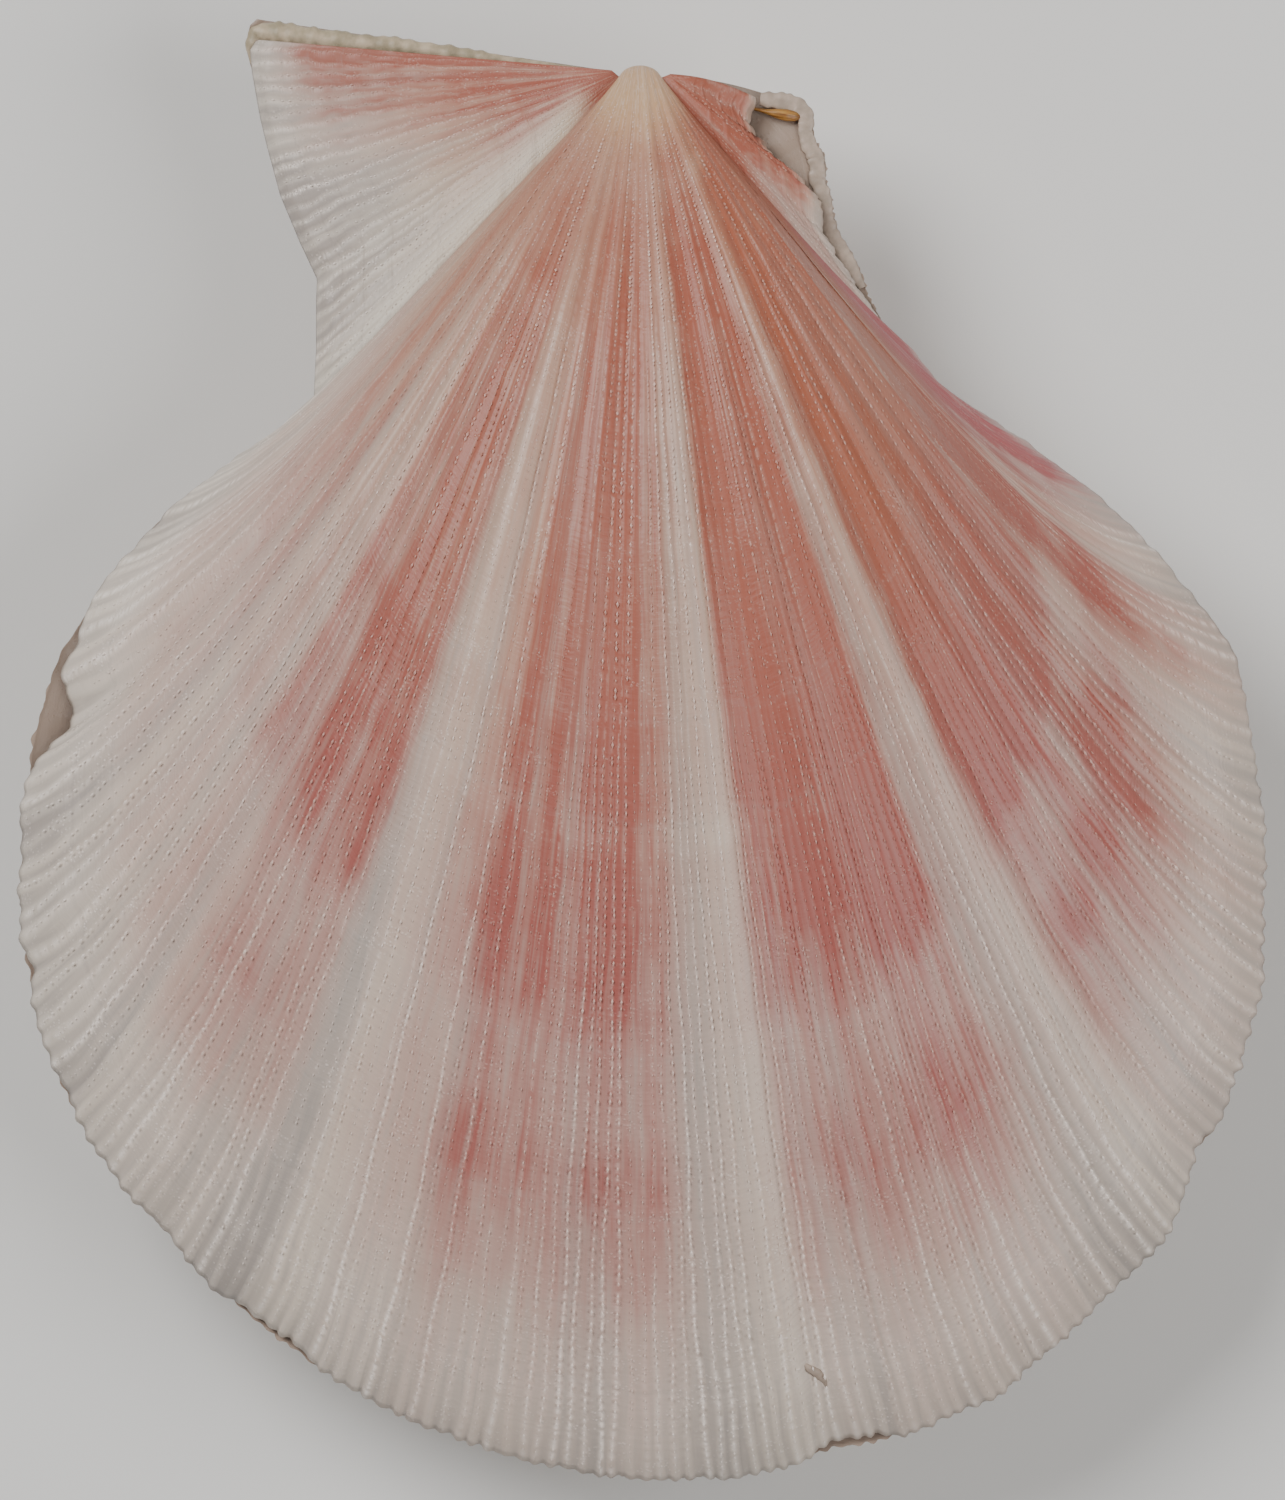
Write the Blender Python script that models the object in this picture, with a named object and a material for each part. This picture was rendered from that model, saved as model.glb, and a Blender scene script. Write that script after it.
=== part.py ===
import math
import bmesh
import bpy
from mathutils.geometry import delaunay_2d_cdt

# A closed scallop: an upper valve, a lower valve and the strip of ligament between them.
# Shapes are drawn in millimetres from the beak, +Y to the hinge and +Z up.
# The last step moves them so that the rest spot is the origin.

# Plan of the disc
DISC_CENTRE = (0.22, -33.79)
DISC_RADIUS = 26.35
LEFT_LIMIT = -143.5
RIGHT_LIMIT = 155.0
LEFT_WEDGE = -110.0
RIGHT_WEDGE = 108.0
RIB_FAN = 54.7
RIB_PULL = 0.82
BEAK_HALF_WIDTH = 1.59
BEAK_BACK = 0.66

# Section through the valves
UPPER_BULGE = 8.0
LOWER_BULGE = 7.6
UPPER_CREST = 0.72
LOWER_CREST = 1.02
EDGE_THICKNESS = 0.9
WALL = 1.15
HALF_GAP = 0.15
HINGE_HALF_GAP = 0.45
EAR_FILLET = 0.9
EAR_FILLET_REACH = 1.3

# Relief
RIBLET = 0.13
CRENULATION = 0.09
EAR_RIB = 0.09

# Rest spot under the lower valve
SPOT = (0.2, -31.7)
SPOT_RADIUS = 4.2
SPOT_DEPTH = 9.3

# Broad lobes and dents of the margin: place in degrees, half width, height
LOBES = [
    (-143, 3, 0.55), (-107, 4, 0.2), (-91, 6, -0.2), (-67, 9, 0.25), (-51, 3, -0.2),
    (17, 4, -0.4), (33, 3, 0.35), (53, 3, 0.4), (61, 3, -0.3), (77, 3, 0.25),
    (83, 13, -0.25), (109, 6, 0.6), (133, 9, -0.3), (155, 6, 1.75),
]

# Chips out of the upper margin: place, half width, depth
CHIPS = [(-103.5, 5.6, 1.45), (-97.5, 2.2, 0.45), (19.5, 4.2, 0.42), (-38, 6, 0.3), (-79, 2, 0.3)]

# Folds that fan out from the beak: place at the margin in degrees, half width, height
FOLDS = [
    (-124, 4, 0.25), (-108, 5, 0.25), (-87, 4.5, 0.35), (-77, 4, 0.3), (-66, 4.5, 0.35),
    (-53, 4.5, 0.25), (-39, 6.5, 0.6), (-26, 4, 0.2), (-14, 4.5, 0.3), (13, 7, 0.65),
    (34, 4.5, 0.3), (56, 6.5, 0.6), (69, 3.5, 0.2), (79, 4, 0.3), (91, 3.5, 0.25),
    (100, 5, 0.5), (119, 6, 0.5),
]

# Outer edges of the ears, from the disc round to the hinge corner
UPPER_FRONT_EAR = [
    (-14.29, -11.78), (-14.29, -9.66), (-14.25, -8.6), (-15.0, -7.01), (-15.88, -4.9),
    (-16.45, -2.78), (-16.76, -1.5), (-17.12, 0.53), (-17.2, 1.5), (-16.94, 1.94),
]
UPPER_REAR_EAR = [
    (9.79, -9.18), (8.6, -7.41), (8.03, -6.53), (7.9, -5.03), (7.32, -4.28), (6.44, -3.53),
    (5.47, -2.65), (5.03, -2.03), (4.9, -1.24), (5.12, -0.62),
]
LOWER_FRONT_EAR = [
    (-9.7, -6.7), (-11.25, -6.09), (-12.79, -5.78), (-14.56, -5.56), (-15.66, -4.9),
    (-16.1, -2.91), (-16.76, -1.5), (-17.1, 0.53), (-17.42, 1.72), (-17.2, 2.6),
    (-16.9, 2.87),
]
LOWER_REAR_EAR = [
    (10.15, -9.31), (9.62, -7.98), (8.73, -6.53), (8.56, -5.87), (8.51, -5.12), (8.16, -4.15),
    (8.29, -3.75), (8.12, -3.18), (7.81, -2.69), (7.63, -1.99), (7.68, -1.59), (7.37, -1.24),
    (6.97, -0.93),
]
FRONT_HINGE_START = (-1.85, 0.66)
REAR_HINGE_START = (1.9, 0.22)

# Mesh rows from the beak to the margin, each with its column spacing
UPPER_ROWS = [
    (0, 8), (0.012, 8), (0.03, 4), (0.06, 4), (0.1, 4), (0.16, 4), (0.24, 2), (0.33, 2),
    (0.43, 2), (0.53, 1), (0.65, 1), (0.77, 1), (0.88, 1), (0.965, 1), (1, 1),
]
LOWER_ROWS = [
    (0, 8), (0.012, 8), (0.03, 4), (0.06, 4), (0.1, 4), (0.16, 4), (0.24, 4), (0.33, 2),
    (0.43, 2), (0.53, 2), (0.65, 1), (0.77, 1), (0.88, 1), (0.965, 1), (1, 1),
]
UPPER_COLUMNS = 192
LOWER_COLUMNS = 160
FRONT_EAR_STEP = 1.15
REAR_EAR_STEP = 1.2
INNER_ROWS = 9
INNER_COLUMNS = 26

# Ligament
LIGAMENT_WIDTH = 0.7
LIGAMENT_THICKNESS = 0.28
BARE_END_THICKNESS = 0.42
LIGAMENT_LINE = [
    (-15.0, 1.35), (-12.0, 1.1), (-9.0, 0.86), (-6.0, 0.62), (-3.0, 0.36), (-1.2, 0.08),
    (0.6, -0.22), (2.4, -0.42), (4.0, -0.78), (4.9, -1.05), (5.6, -1.2), (6.35, -1.35),
    (6.9, -1.42), (7.2, -1.45),
]


def bell(x, centre, half_width):
    return math.exp(-((x - centre) / half_width) ** 2)


def mix(p, q, t):
    return (p[0] + (q[0] - p[0]) * t, p[1] + (q[1] - p[1]) * t)


def margin_radius(a, chipped):
    t = math.radians(a)
    r = DISC_RADIUS + 2.33 * math.cos(t) + 0.18 * math.sin(t)
    r += -1.31 * math.cos(2 * t) + 0.28 * math.sin(2 * t)
    r += 0.37 * math.cos(3 * t) + 0.29 * math.sin(3 * t)
    r += sum(h * bell(a, c, w) for c, w, h in LOBES)
    if chipped:
        r -= sum(d * max(0.0, 1 - abs((a - c) / w) ** 3) for c, w, d in CHIPS)
    else:
        r -= 0.12
    return r


def margin_point(a, chipped):
    r = margin_radius(a, chipped)
    t = math.radians(a)
    return (DISC_CENTRE[0] + r * math.sin(t), DISC_CENTRE[1] - r * math.cos(t))


# A rib leaves the beak in its own direction and bends outward to its place on the margin
def rib_point(a, u, chipped):
    t = (2 * RIB_PULL - math.sqrt(4 * RIB_PULL ** 2 - 4 * (2 * RIB_PULL - 1) * u)) / (4 * RIB_PULL - 2)
    mx, my = margin_point(a, chipped)
    reach = math.hypot(mx, my)
    heading = math.radians(RIB_FAN * math.sin(math.radians(0.4 * a)))
    cx = RIB_PULL * reach * math.sin(heading)
    cy = -RIB_PULL * reach * math.cos(heading)
    x = 2 * t * (1 - t) * cx + t * t * mx
    y = 2 * t * (1 - t) * cy + t * t * my
    x += BEAK_HALF_WIDTH * math.sin(math.radians(0.74 * a)) * (1 - t)
    rise = BEAK_BACK * (1 - 0.35 * math.sin(math.radians(0.5 * a)) ** 2)
    y += rise * math.exp(-t / 0.02)
    return (x, y)


def disc_edge_point(side, u, chipped):
    limit = LEFT_LIMIT if side < 0 else RIGHT_LIMIT
    return mix(rib_point(limit, 0, chipped), margin_point(limit, chipped), u)


# Near the ears the ribs are squeezed between the last free rib and the straight disc edge
def disc_point(a, u, chipped):
    wedge = LEFT_WEDGE if a < 0 else RIGHT_WEDGE
    limit = LEFT_LIMIT if a < 0 else RIGHT_LIMIT
    k = (a - wedge) / (limit - wedge)
    if k <= 0:
        return rib_point(a, u, chipped)
    side = -1 if a < 0 else 1
    p = mix(rib_point(wedge, u, chipped), disc_edge_point(side, u, chipped), k)
    chord = mix(margin_point(wedge, chipped), margin_point(limit, chipped), k)
    end = margin_point(a, chipped)
    pull = u ** 5
    return (p[0] + pull * (end[0] - chord[0]), p[1] + pull * (end[1] - chord[1]))


# Distance across the fan: 0 on the middle rib and 1 at the disc edge
def across(a):
    wedge = LEFT_WEDGE if a < 0 else RIGHT_WEDGE
    limit = LEFT_LIMIT if a < 0 else RIGHT_LIMIT
    k = (a - wedge) / (limit - wedge)
    at_wedge = 0.925
    if k > 0:
        return at_wedge + (1 - at_wedge) * min(1.0, k)
    full = math.tan(math.radians(RIB_FAN * math.sin(math.radians(0.4 * abs(wedge)))))
    here = math.tan(math.radians(RIB_FAN * math.sin(math.radians(0.4 * abs(a)))))
    return at_wedge * here / full


def lip(u):
    return 1 - math.exp(-(1 - u) / 0.018)


def fillet(u):
    return EAR_FILLET * math.sin(math.pi * min(1.0, u)) ** 0.8 if 0 < u < 1 else 0.0


def folds(a, u):
    grown = 0.1 + 0.9 * min(1.0, u / 0.35)
    return grown * (1 - 0.4 * u) * sum(h * bell(a, c, w) for c, w, h in FOLDS)


# Height of the outer face above the meeting plane, without the fine riblets
def disc_height(a, u, bulge, crest):
    arch = max(0.0, 1 - across(a) ** 2.3) ** 0.72
    rise = bulge * arch * max(0.0, math.sin(math.pi * u ** crest)) ** 0.9
    relief = folds(a, u) * min(1.0, 2.5 * arch) * lip(u)
    return HALF_GAP + EDGE_THICKNESS * lip(u) + fillet(u) + rise + relief


def riblet(i, stride):
    if stride == 1:
        return 1 if i % 2 == 0 else -1
    if stride == 2:
        return 1 if i % 4 == 2 else -1
    return 0


# Points along a polyline, with every corner kept
def along(points, step):
    out = []
    for p, q in zip(points, points[1:]):
        n = max(1, round(math.dist(p, q) / step))
        out += [mix(p, q, j / n) for j in range(n)]
    return out + [points[-1]]


def inside(p, loop):
    hit = False
    for (x1, y1), (x2, y2) in zip(loop, loop[1:] + loop[:1]):
        if (y1 > p[1]) != (y2 > p[1]) and p[0] < x1 + (p[1] - y1) * (x2 - x1) / (y2 - y1):
            hit = not hit
    return hit


# Join two rows of vertices with triangles, keeping pace along both rows
def zip_rows(verts, faces, low, high):
    i = j = 0
    while i < len(low) - 1 or j < len(high) - 1:
        next_low = (i + 1) / (len(low) - 1)
        next_high = (j + 1) / (len(high) - 1)
        lead = next_low - next_high
        if abs(lead) < 1e-6:
            across_low = math.dist(verts[low[i + 1]], verts[high[j]])
            lead = across_low - math.dist(verts[low[i]], verts[high[j + 1]])
        if lead < 0:
            faces.append((low[i], low[i + 1], high[j]))
            i += 1
        else:
            faces.append((low[i], high[j + 1], high[j]))
            j += 1


# One ear: rays from the beak to the ear's outer edge, joined to the disc edge vertices
def add_ear(verts, faces, edge_ids, edge_us, side, outline, start, step, chipped):
    reach = edge_us[-1]
    root = disc_edge_point(side, 0, chipped)
    far = disc_edge_point(side, 1, chipped)
    length = math.dist(root, far)
    normal = ((far[1] - root[1]) / length, -(far[0] - root[0]) / length)
    tip = verts[edge_ids[-1]]
    rim = along([(tip[0], tip[1])] + outline, step)
    columns = [list(edge_ids)]
    for c in range(1, len(rim)):
        w = c / (len(rim) - 1)
        base = mix(root, start, w)
        rib = EAR_RIB if c % 2 == 0 else -EAR_RIB
        column = []
        for u in edge_us:
            t = u / reach
            x, y = mix(base, rim[c], t)
            away = abs((x - root[0]) * normal[0] + (y - root[1]) * normal[1])
            z = HALF_GAP + EDGE_THICKNESS * lip(t)
            z += fillet(u) * math.exp(-(away / EAR_FILLET_REACH) ** 2)
            z += rib * lip(t) * min(1.0, 2 * t)
            verts.append((x, y, z))
            column.append(len(verts) - 1)
        columns.append(column)
    for left, right in zip(columns, columns[1:]):
        zip_rows(verts, faces, left, right)
    return columns


# The lowest part of the lower valve is worn to a small flat spot
def flatten_spot(verts):
    near = [k for k, v in enumerate(verts) if math.dist(v[:2], SPOT) < SPOT_RADIUS]
    for k, (x, y, z) in enumerate(verts):
        verts[k] = (x, y, SPOT_DEPTH if k in near else min(z, SPOT_DEPTH))


def make_valve(rows, n_columns, bulge, crest, front_ear, rear_ear, notch_u, chipped):
    verts = []
    faces = []
    step = (RIGHT_LIMIT - LEFT_LIMIT) / n_columns
    disc = []
    for u, stride in rows:
        row = []
        for i in range(0, n_columns + 1, stride):
            a = LEFT_LIMIT + i * step
            bump = riblet(i, stride)
            x, y = disc_point(a, u, chipped)
            z = disc_height(a, u, bulge, crest)
            if 0 < i < n_columns:
                z += bump * RIBLET * lip(u) * min(1.0, 4 * (1 - across(a)))
                out = 1 + bump * CRENULATION / DISC_RADIUS * u ** 4
                x = DISC_CENTRE[0] + (x - DISC_CENTRE[0]) * out
                y = DISC_CENTRE[1] + (y - DISC_CENTRE[1]) * out
            verts.append((x, y, z))
            row.append(len(verts) - 1)
        disc.append(row)
    if not chipped:
        flatten_spot(verts)
    for low, high in zip(disc, disc[1:]):
        zip_rows(verts, faces, low, high)

    us = [u for u, stride in rows]
    joined = sum(u <= notch_u for u in us)
    front = add_ear(verts, faces, [row[0] for row in disc[:joined]], us[:joined], -1,
                    front_ear, FRONT_HINGE_START, FRONT_EAR_STEP, chipped)
    rear = add_ear(verts, faces, [row[-1] for row in disc], us, 1,
                   rear_ear, REAR_HINGE_START, REAR_EAR_STEP, chipped)

    # The rim of the outer face: ears and margin first, then back along the hinge
    sharp = [column[-1] for column in front[::-1]]
    sharp += [row[0] for row in disc[joined:-1]]
    sharp += disc[-1][1:] if joined == len(disc) else disc[-1]
    sharp += [column[-1] for column in rear[1:]]
    back = rear[-1][-2::-1] + [column[0] for column in rear[-2:0:-1]]
    back += disc[0][::-1] + [column[0] for column in front[1:-1]] + front[-1][:-1]
    loop = sharp + back

    # Where the outer face ends above the meeting plane, a short wall goes down to it
    lowered = {}
    for v in loop:
        x, y, z = verts[v]
        hinge = v in back
        level = HINGE_HALF_GAP if hinge else HALF_GAP
        if hinge or z > level + 0.01:
            verts.append((x, y, level))
            lowered[v] = len(verts) - 1
    for v, w in zip(loop, loop[1:] + loop[:1]):
        v2 = lowered.get(v, v)
        w2 = lowered.get(w, w)
        if v2 != v:
            faces.append((v, v2, w))
        if w2 != w:
            faces.append((v2, w2, w))
    ring = [lowered.get(v, v) for v in loop]

    # The hollow: its rim lies on the meeting plane and its roof follows the outer face
    hollow = []
    for r in range(INNER_ROWS + 1):
        v = r / INNER_ROWS
        u = 0.065 + (0.952 - 0.065) * v
        row = []
        for c in range(INNER_COLUMNS + 1):
            s = 2 * c / INNER_COLUMNS - 1
            a = -104 * abs(s) if s < 0 else 102 * s
            x, y = disc_point(a, u, chipped)
            z = HALF_GAP
            if 0 < r < INNER_ROWS and 0 < c < INNER_COLUMNS:
                smooth = disc_height(a, u, bulge, crest) - folds(a, u)
                z = max(HALF_GAP + 0.1, smooth - WALL)
            verts.append((x, y, z))
            row.append(len(verts) - 1)
        hollow.append(row)
    for low, high in zip(hollow, hollow[1:]):
        zip_rows(verts, faces, low, high)
    mouth = hollow[-1] + [row[-1] for row in hollow[-2:0:-1]]
    mouth += hollow[0][::-1] + [row[0] for row in hollow[1:-1]]

    # The flat face between the rim and the hollow
    flat = ring + mouth
    points = [verts[v][:2] for v in flat]
    n = len(ring)
    edges = [(k, (k + 1) % n) for k in range(n)]
    m = len(mouth)
    edges += [(n + k, n + (k + 1) % m) for k in range(m)]
    found = delaunay_2d_cdt(points, edges, [], 1, 1e-6)
    origin = [ids[0] for ids in found[3]]
    hole = points[n:]
    border = points[:n]
    for tri in found[2]:
        ids = [origin[k] for k in tri]
        cx = sum(points[k][0] for k in ids) / 3
        cy = sum(points[k][1] for k in ids) / 3
        if inside((cx, cy), border) and not inside((cx, cy), hole):
            faces.append(tuple(flat[k] for k in ids))
    return verts, faces


def make_ligament():
    verts = []
    faces = []
    n = len(LIGAMENT_LINE)
    sides = 8
    for k, (x, y) in enumerate(LIGAMENT_LINE):
        bare = 1.0 if x > 5.0 else 0.0
        taper = min(1.0, 0.3 + 0.5 * k, 0.25 + 0.45 * (n - 1 - k))
        width = LIGAMENT_WIDTH * taper * (1 - 0.25 * bare)
        thick = (LIGAMENT_THICKNESS + bare * (BARE_END_THICKNESS - LIGAMENT_THICKNESS)) * taper
        middle = -0.5 * LIGAMENT_THICKNESS + 0.5 * thick
        for s in range(sides):
            t = 2 * math.pi * s / sides
            verts.append((x, y + 0.5 * width * math.cos(t), middle + 0.5 * thick * math.sin(t)))
    for k in range(n - 1):
        for s in range(sides):
            p = k * sides + s
            q = k * sides + (s + 1) % sides
            faces.append((p, q, q + sides))
            faces.append((p, q + sides, p + sides))
    last = (n - 1) * sides
    for s in range(1, sides - 1):
        faces.append((0, s + 1, s))
        faces.append((last, last + s, last + s + 1))
    return verts, faces


def material(name, colour, roughness):
    mat = bpy.data.materials.new(name)
    mat.use_nodes = True
    shader = mat.node_tree.nodes["Principled BSDF"]
    shader.inputs["Base Color"].default_value = (*colour, 1)
    shader.inputs["Roughness"].default_value = roughness
    shader.inputs["Metallic"].default_value = 0.0
    return mat


def add_node(name, verts, faces, colour, roughness):
    points = [((x - SPOT[0]) / 1000, (y - SPOT[1]) / 1000, (z + SPOT_DEPTH) / 1000)
              for x, y, z in verts]
    mesh = bpy.data.meshes.new(name)
    mesh.from_pydata(points, [], faces)
    shell = bmesh.new()
    shell.from_mesh(mesh)
    bmesh.ops.recalc_face_normals(shell, faces=shell.faces)
    shell.to_mesh(mesh)
    shell.free()
    mesh.shade_smooth()
    mesh.materials.append(material(name, colour, roughness))
    bpy.context.scene.collection.objects.link(bpy.data.objects.new(name, mesh))


for thing in list(bpy.data.objects):
    bpy.data.objects.remove(thing)

upper, upper_faces = make_valve(
    UPPER_ROWS, UPPER_COLUMNS, UPPER_BULGE, UPPER_CREST, UPPER_FRONT_EAR, UPPER_REAR_EAR, 1.0, True)
lower, lower_faces = make_valve(
    LOWER_ROWS, LOWER_COLUMNS, LOWER_BULGE, LOWER_CREST, LOWER_FRONT_EAR, LOWER_REAR_EAR, 0.53, False)
lower = [(x, y, -z) for x, y, z in lower]
strip, strip_faces = make_ligament()
add_node("upper_valve", upper, upper_faces, (0.74, 0.52, 0.46), 0.5)
add_node("lower_valve", lower, lower_faces, (0.7, 0.62, 0.57), 0.5)
add_node("ligament", strip, strip_faces, (0.2, 0.08, 0.02), 0.4)
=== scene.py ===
# %% [markdown]
# # A spear scallop, closed, lying on a pale floor
# The shell is three real pieces: the upper valve, the lower valve and the brown strip of
# ligament that held them together. The measured solids come first as a fixed frame, and every
# finished piece below takes the place of one of them.

import bmesh
import bpy
import numpy as np
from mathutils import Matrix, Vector
from mathutils.geometry import delaunay_2d_cdt


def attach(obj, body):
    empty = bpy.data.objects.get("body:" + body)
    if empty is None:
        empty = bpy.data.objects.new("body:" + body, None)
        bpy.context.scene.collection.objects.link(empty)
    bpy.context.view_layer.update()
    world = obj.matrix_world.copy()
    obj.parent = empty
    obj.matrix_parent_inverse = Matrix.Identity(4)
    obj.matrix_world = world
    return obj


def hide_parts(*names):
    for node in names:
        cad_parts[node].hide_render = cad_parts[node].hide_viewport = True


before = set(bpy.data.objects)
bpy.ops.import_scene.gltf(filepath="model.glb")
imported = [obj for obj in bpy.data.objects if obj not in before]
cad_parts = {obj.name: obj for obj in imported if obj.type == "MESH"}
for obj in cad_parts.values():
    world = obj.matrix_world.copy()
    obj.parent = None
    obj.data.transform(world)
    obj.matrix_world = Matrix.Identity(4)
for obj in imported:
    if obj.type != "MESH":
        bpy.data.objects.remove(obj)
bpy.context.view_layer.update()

MM = 0.001

# %% [markdown]
# ## The plan of the disc
# Seen from above the shell is a fan that starts at the beak. A scallop grows by adding to its
# margin, so the margin is the first thing to describe: a smooth rounded curve, measured as a
# radius round the disc's centre, with broad lobes where growth ran ahead or fell behind. All
# numbers here are millimetres from the beak, with +Y to the hinge. They are moved to the rest
# spot when a mesh is made.

# %% Margin of the disc
CENTRE = np.array([0.22, -33.79])
SPOT = np.array([0.2, -31.7, -9.3])
SPOT_RADIUS, SPOT_BLEND = 4.2, 6.5
LEFT, RIGHT = -143.5, 155.0
LOBES = [
    (-143, 3, 0.55), (-107, 4, 0.2), (-91, 6, -0.2), (-67, 9, 0.25), (-51, 3, -0.2),
    (17, 4, -0.4), (33, 3, 0.35), (53, 3, 0.4), (61, 3, -0.3), (77, 3, 0.25),
    (83, 13, -0.25), (109, 6, 0.6), (133, 9, -0.3), (155, 6, 1.75),
]


def bell(x, centre, width):
    return np.exp(-((x - centre) / width) ** 2)


def smooth(low, high, x):
    t = np.clip((x - low) / (high - low), 0, 1)
    return t * t * (3 - 2 * t)


def full_radius(a):
    t = np.radians(a)
    r = 26.35 + 2.33 * np.cos(t) + 0.18 * np.sin(t) - 1.31 * np.cos(2 * t)
    r = r + 0.28 * np.sin(2 * t) + 0.37 * np.cos(3 * t) + 0.29 * np.sin(3 * t)
    for place, width, height in LOBES:
        r = r + height * bell(a, place, width)
    return r


print("disc is about", round(float(full_radius(90) + full_radius(-90)), 1), "mm wide")

# %% [markdown]
# ## Riblets, numbered across the fan
# Every visible line on a scallop is a riblet. Instead of placing them one by one, each place on
# the fan gets a riblet number, a value that rises by one from crest to crest. The riblets are
# finer in the middle than on the flanks, so the number rises faster there. Each crest also gets
# its own strength from a seeded table, because on the real shell some threads stand out and
# others hardly show.

# %% Riblet numbers and strengths
RIBLETS = 176
rng = np.random.default_rng(24)
fan_places = np.linspace(LEFT - 12, RIGHT + 12, 2000)
spacing_there = 1.75 - 0.42 * bell(fan_places, 18, 60) + 0.25 * bell(fan_places, -95, 30)
numbers_there = np.cumsum(1 / spacing_there)
first, last = np.interp([LEFT, RIGHT], fan_places, numbers_there)
numbers_there = (numbers_there - first) * RIBLETS / (last - first)
WAYS = rng.uniform(0, 1, (600, 4))


def fan_of(number):
    return np.interp(number, numbers_there, fan_places)


def way_of(crest):
    return WAYS[np.asarray(crest).astype(int) % len(WAYS)]


def wander(crest, u):
    way = way_of(crest)
    slow = np.sin(2 * np.pi * (u * (2 + 2 * way[..., 0]) + way[..., 1]))
    quick = np.sin(2 * np.pi * (u * (9 + 5 * way[..., 2]) + way[..., 3]))
    return 0.12 * slow + 0.07 * quick


spacing_mm = float(full_radius(0) * np.radians(fan_of(90) - fan_of(89)))
print("spacing at the margin", round(spacing_mm, 2), "mm")

# %% [markdown]
# ## Chips and the frayed edge
# The upper valve has one deep bite in its left side and several shallow chips, and the lower
# valve shows through them. A chip is a short list of places and depths round the margin. The
# rest of the edge is finely scalloped by the riblets and a little ragged.

# %% Edges of the two valves
BITE = [(-113, 0), (-110.3, 0.42), (-107.7, 0.45), (-106.2, 0.72), (-104.9, 1.15),
        (-103.4, 1.5), (-102.1, 1.65), (-101.2, 1.25), (-99.4, 0.7), (-98.1, 0.3), (-96, 0)]
CHIPS = [(19.5, 4.2, 0.42), (-38, 6, 0.3), (-79, 2, 0.3), (-67, 1.6, 0.22), (62, 1.5, 0.2)]
RAG_DEPTH = 0.05
rag = np.interp(fan_places, fan_places[::7], rng.normal(0, 1, len(fan_places[::7])))
rag = np.convolve(rag, np.ones(5) / 5, "same")


def edge_radius(a, upper):
    r = full_radius(a)
    if upper:
        r = r - np.interp(a, [p for p, d in BITE], [d for p, d in BITE])
        for place, width, depth in CHIPS:
            r = r - depth * np.clip(1 - np.abs((a - place) / width) ** 3, 0, 1)
        r = r + RAG_DEPTH * np.interp(a, fan_places, rag)
    else:
        r = r - 0.12 + RAG_DEPTH * np.interp(a + 7, fan_places, rag)
    return r


def edge_point(a, upper):
    r = edge_radius(a, upper)
    t = np.radians(a)
    return np.stack([CENTRE[0] + r * np.sin(t), CENTRE[1] - r * np.cos(t)], -1)


print("bite depth", round(float(full_radius(-102) - edge_radius(-102, True)), 2), "mm")

# %% [markdown]
# ## Ribs as bent rays
# A rib leaves the beak in its own direction and bends outward to meet the margin nearly square
# on. A quadratic curve with its middle handle far out does this, and turning the curve's own
# parameter into a share of the way keeps the growth lines evenly spaced. All of them start on
# the round tip of the beak, under two millimetres wide. Next to the ears the ribs are squeezed
# against the straight edge of the disc.

# %% The fan
RIB_FAN, RIB_PULL, BEAK_HALF = 54.7, 0.82, 1.59
WEDGE = {-1: -110.0, 1: 108.0}
LIMIT = {-1: LEFT, 1: RIGHT}


def heading_of(a):
    return np.radians(RIB_FAN * np.sin(np.radians(0.4 * a)))


def rib_point(a, u, upper):
    t = (2 * RIB_PULL - np.sqrt(4 * RIB_PULL ** 2 - 4 * (2 * RIB_PULL - 1) * u)) / (4 * RIB_PULL - 2)
    end = edge_point(a, upper)
    reach = np.hypot(end[..., 0], end[..., 1])
    heading = heading_of(a)
    bend = 2 * t * (1 - t) * RIB_PULL * reach
    x = bend * np.sin(heading) + t * t * end[..., 0]
    y = -bend * np.cos(heading) + t * t * end[..., 1]
    x = x + BEAK_HALF * np.sin(np.radians(0.74 * a)) * (1 - t) * (1 - 0.45 * np.exp(-t / 0.05))
    y = y + (0.79 - 0.62 * np.sin(np.radians(0.5 * a)) ** 2) * np.exp(-t / 0.02)
    return np.stack([x, y], -1)


def disc_edge(side, u, upper):
    root = rib_point(np.float64(LIMIT[side]), np.float64(0), upper)
    end = edge_point(np.float64(LIMIT[side]), upper)
    return root + (end - root) * np.asarray(u)[..., None]


def disc_point(a, u, upper):
    a, u = np.broadcast_arrays(np.asarray(a, float), np.asarray(u, float))
    place = rib_point(a, u, upper)
    for side in (-1, 1):
        wedge, limit = WEDGE[side], LIMIT[side]
        k = ((a - wedge) / (limit - wedge))[..., None]
        squeezed = rib_point(np.full_like(u, wedge), u, upper) * (1 - k)
        squeezed = squeezed + disc_edge(side, u, upper) * k
        chord = edge_point(np.float64(wedge), upper) * (1 - k)
        chord = chord + edge_point(np.float64(limit), upper) * k
        squeezed = squeezed + (u ** 5)[..., None] * (edge_point(a, upper) - chord)
        place = np.where(k > 0, squeezed, place)
    return place


print("beak to margin", np.round(disc_point(0, 1, True), 1))

# %% [markdown]
# ## How high the valves rise
# Across the fan a valve is an arch, steep beside the ears. Along a rib it climbs fast behind the
# beak and runs out thin at the margin. Broad rounded folds run down the fan on top of that
# arch, and these are what the light picks out from a step away.

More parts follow.
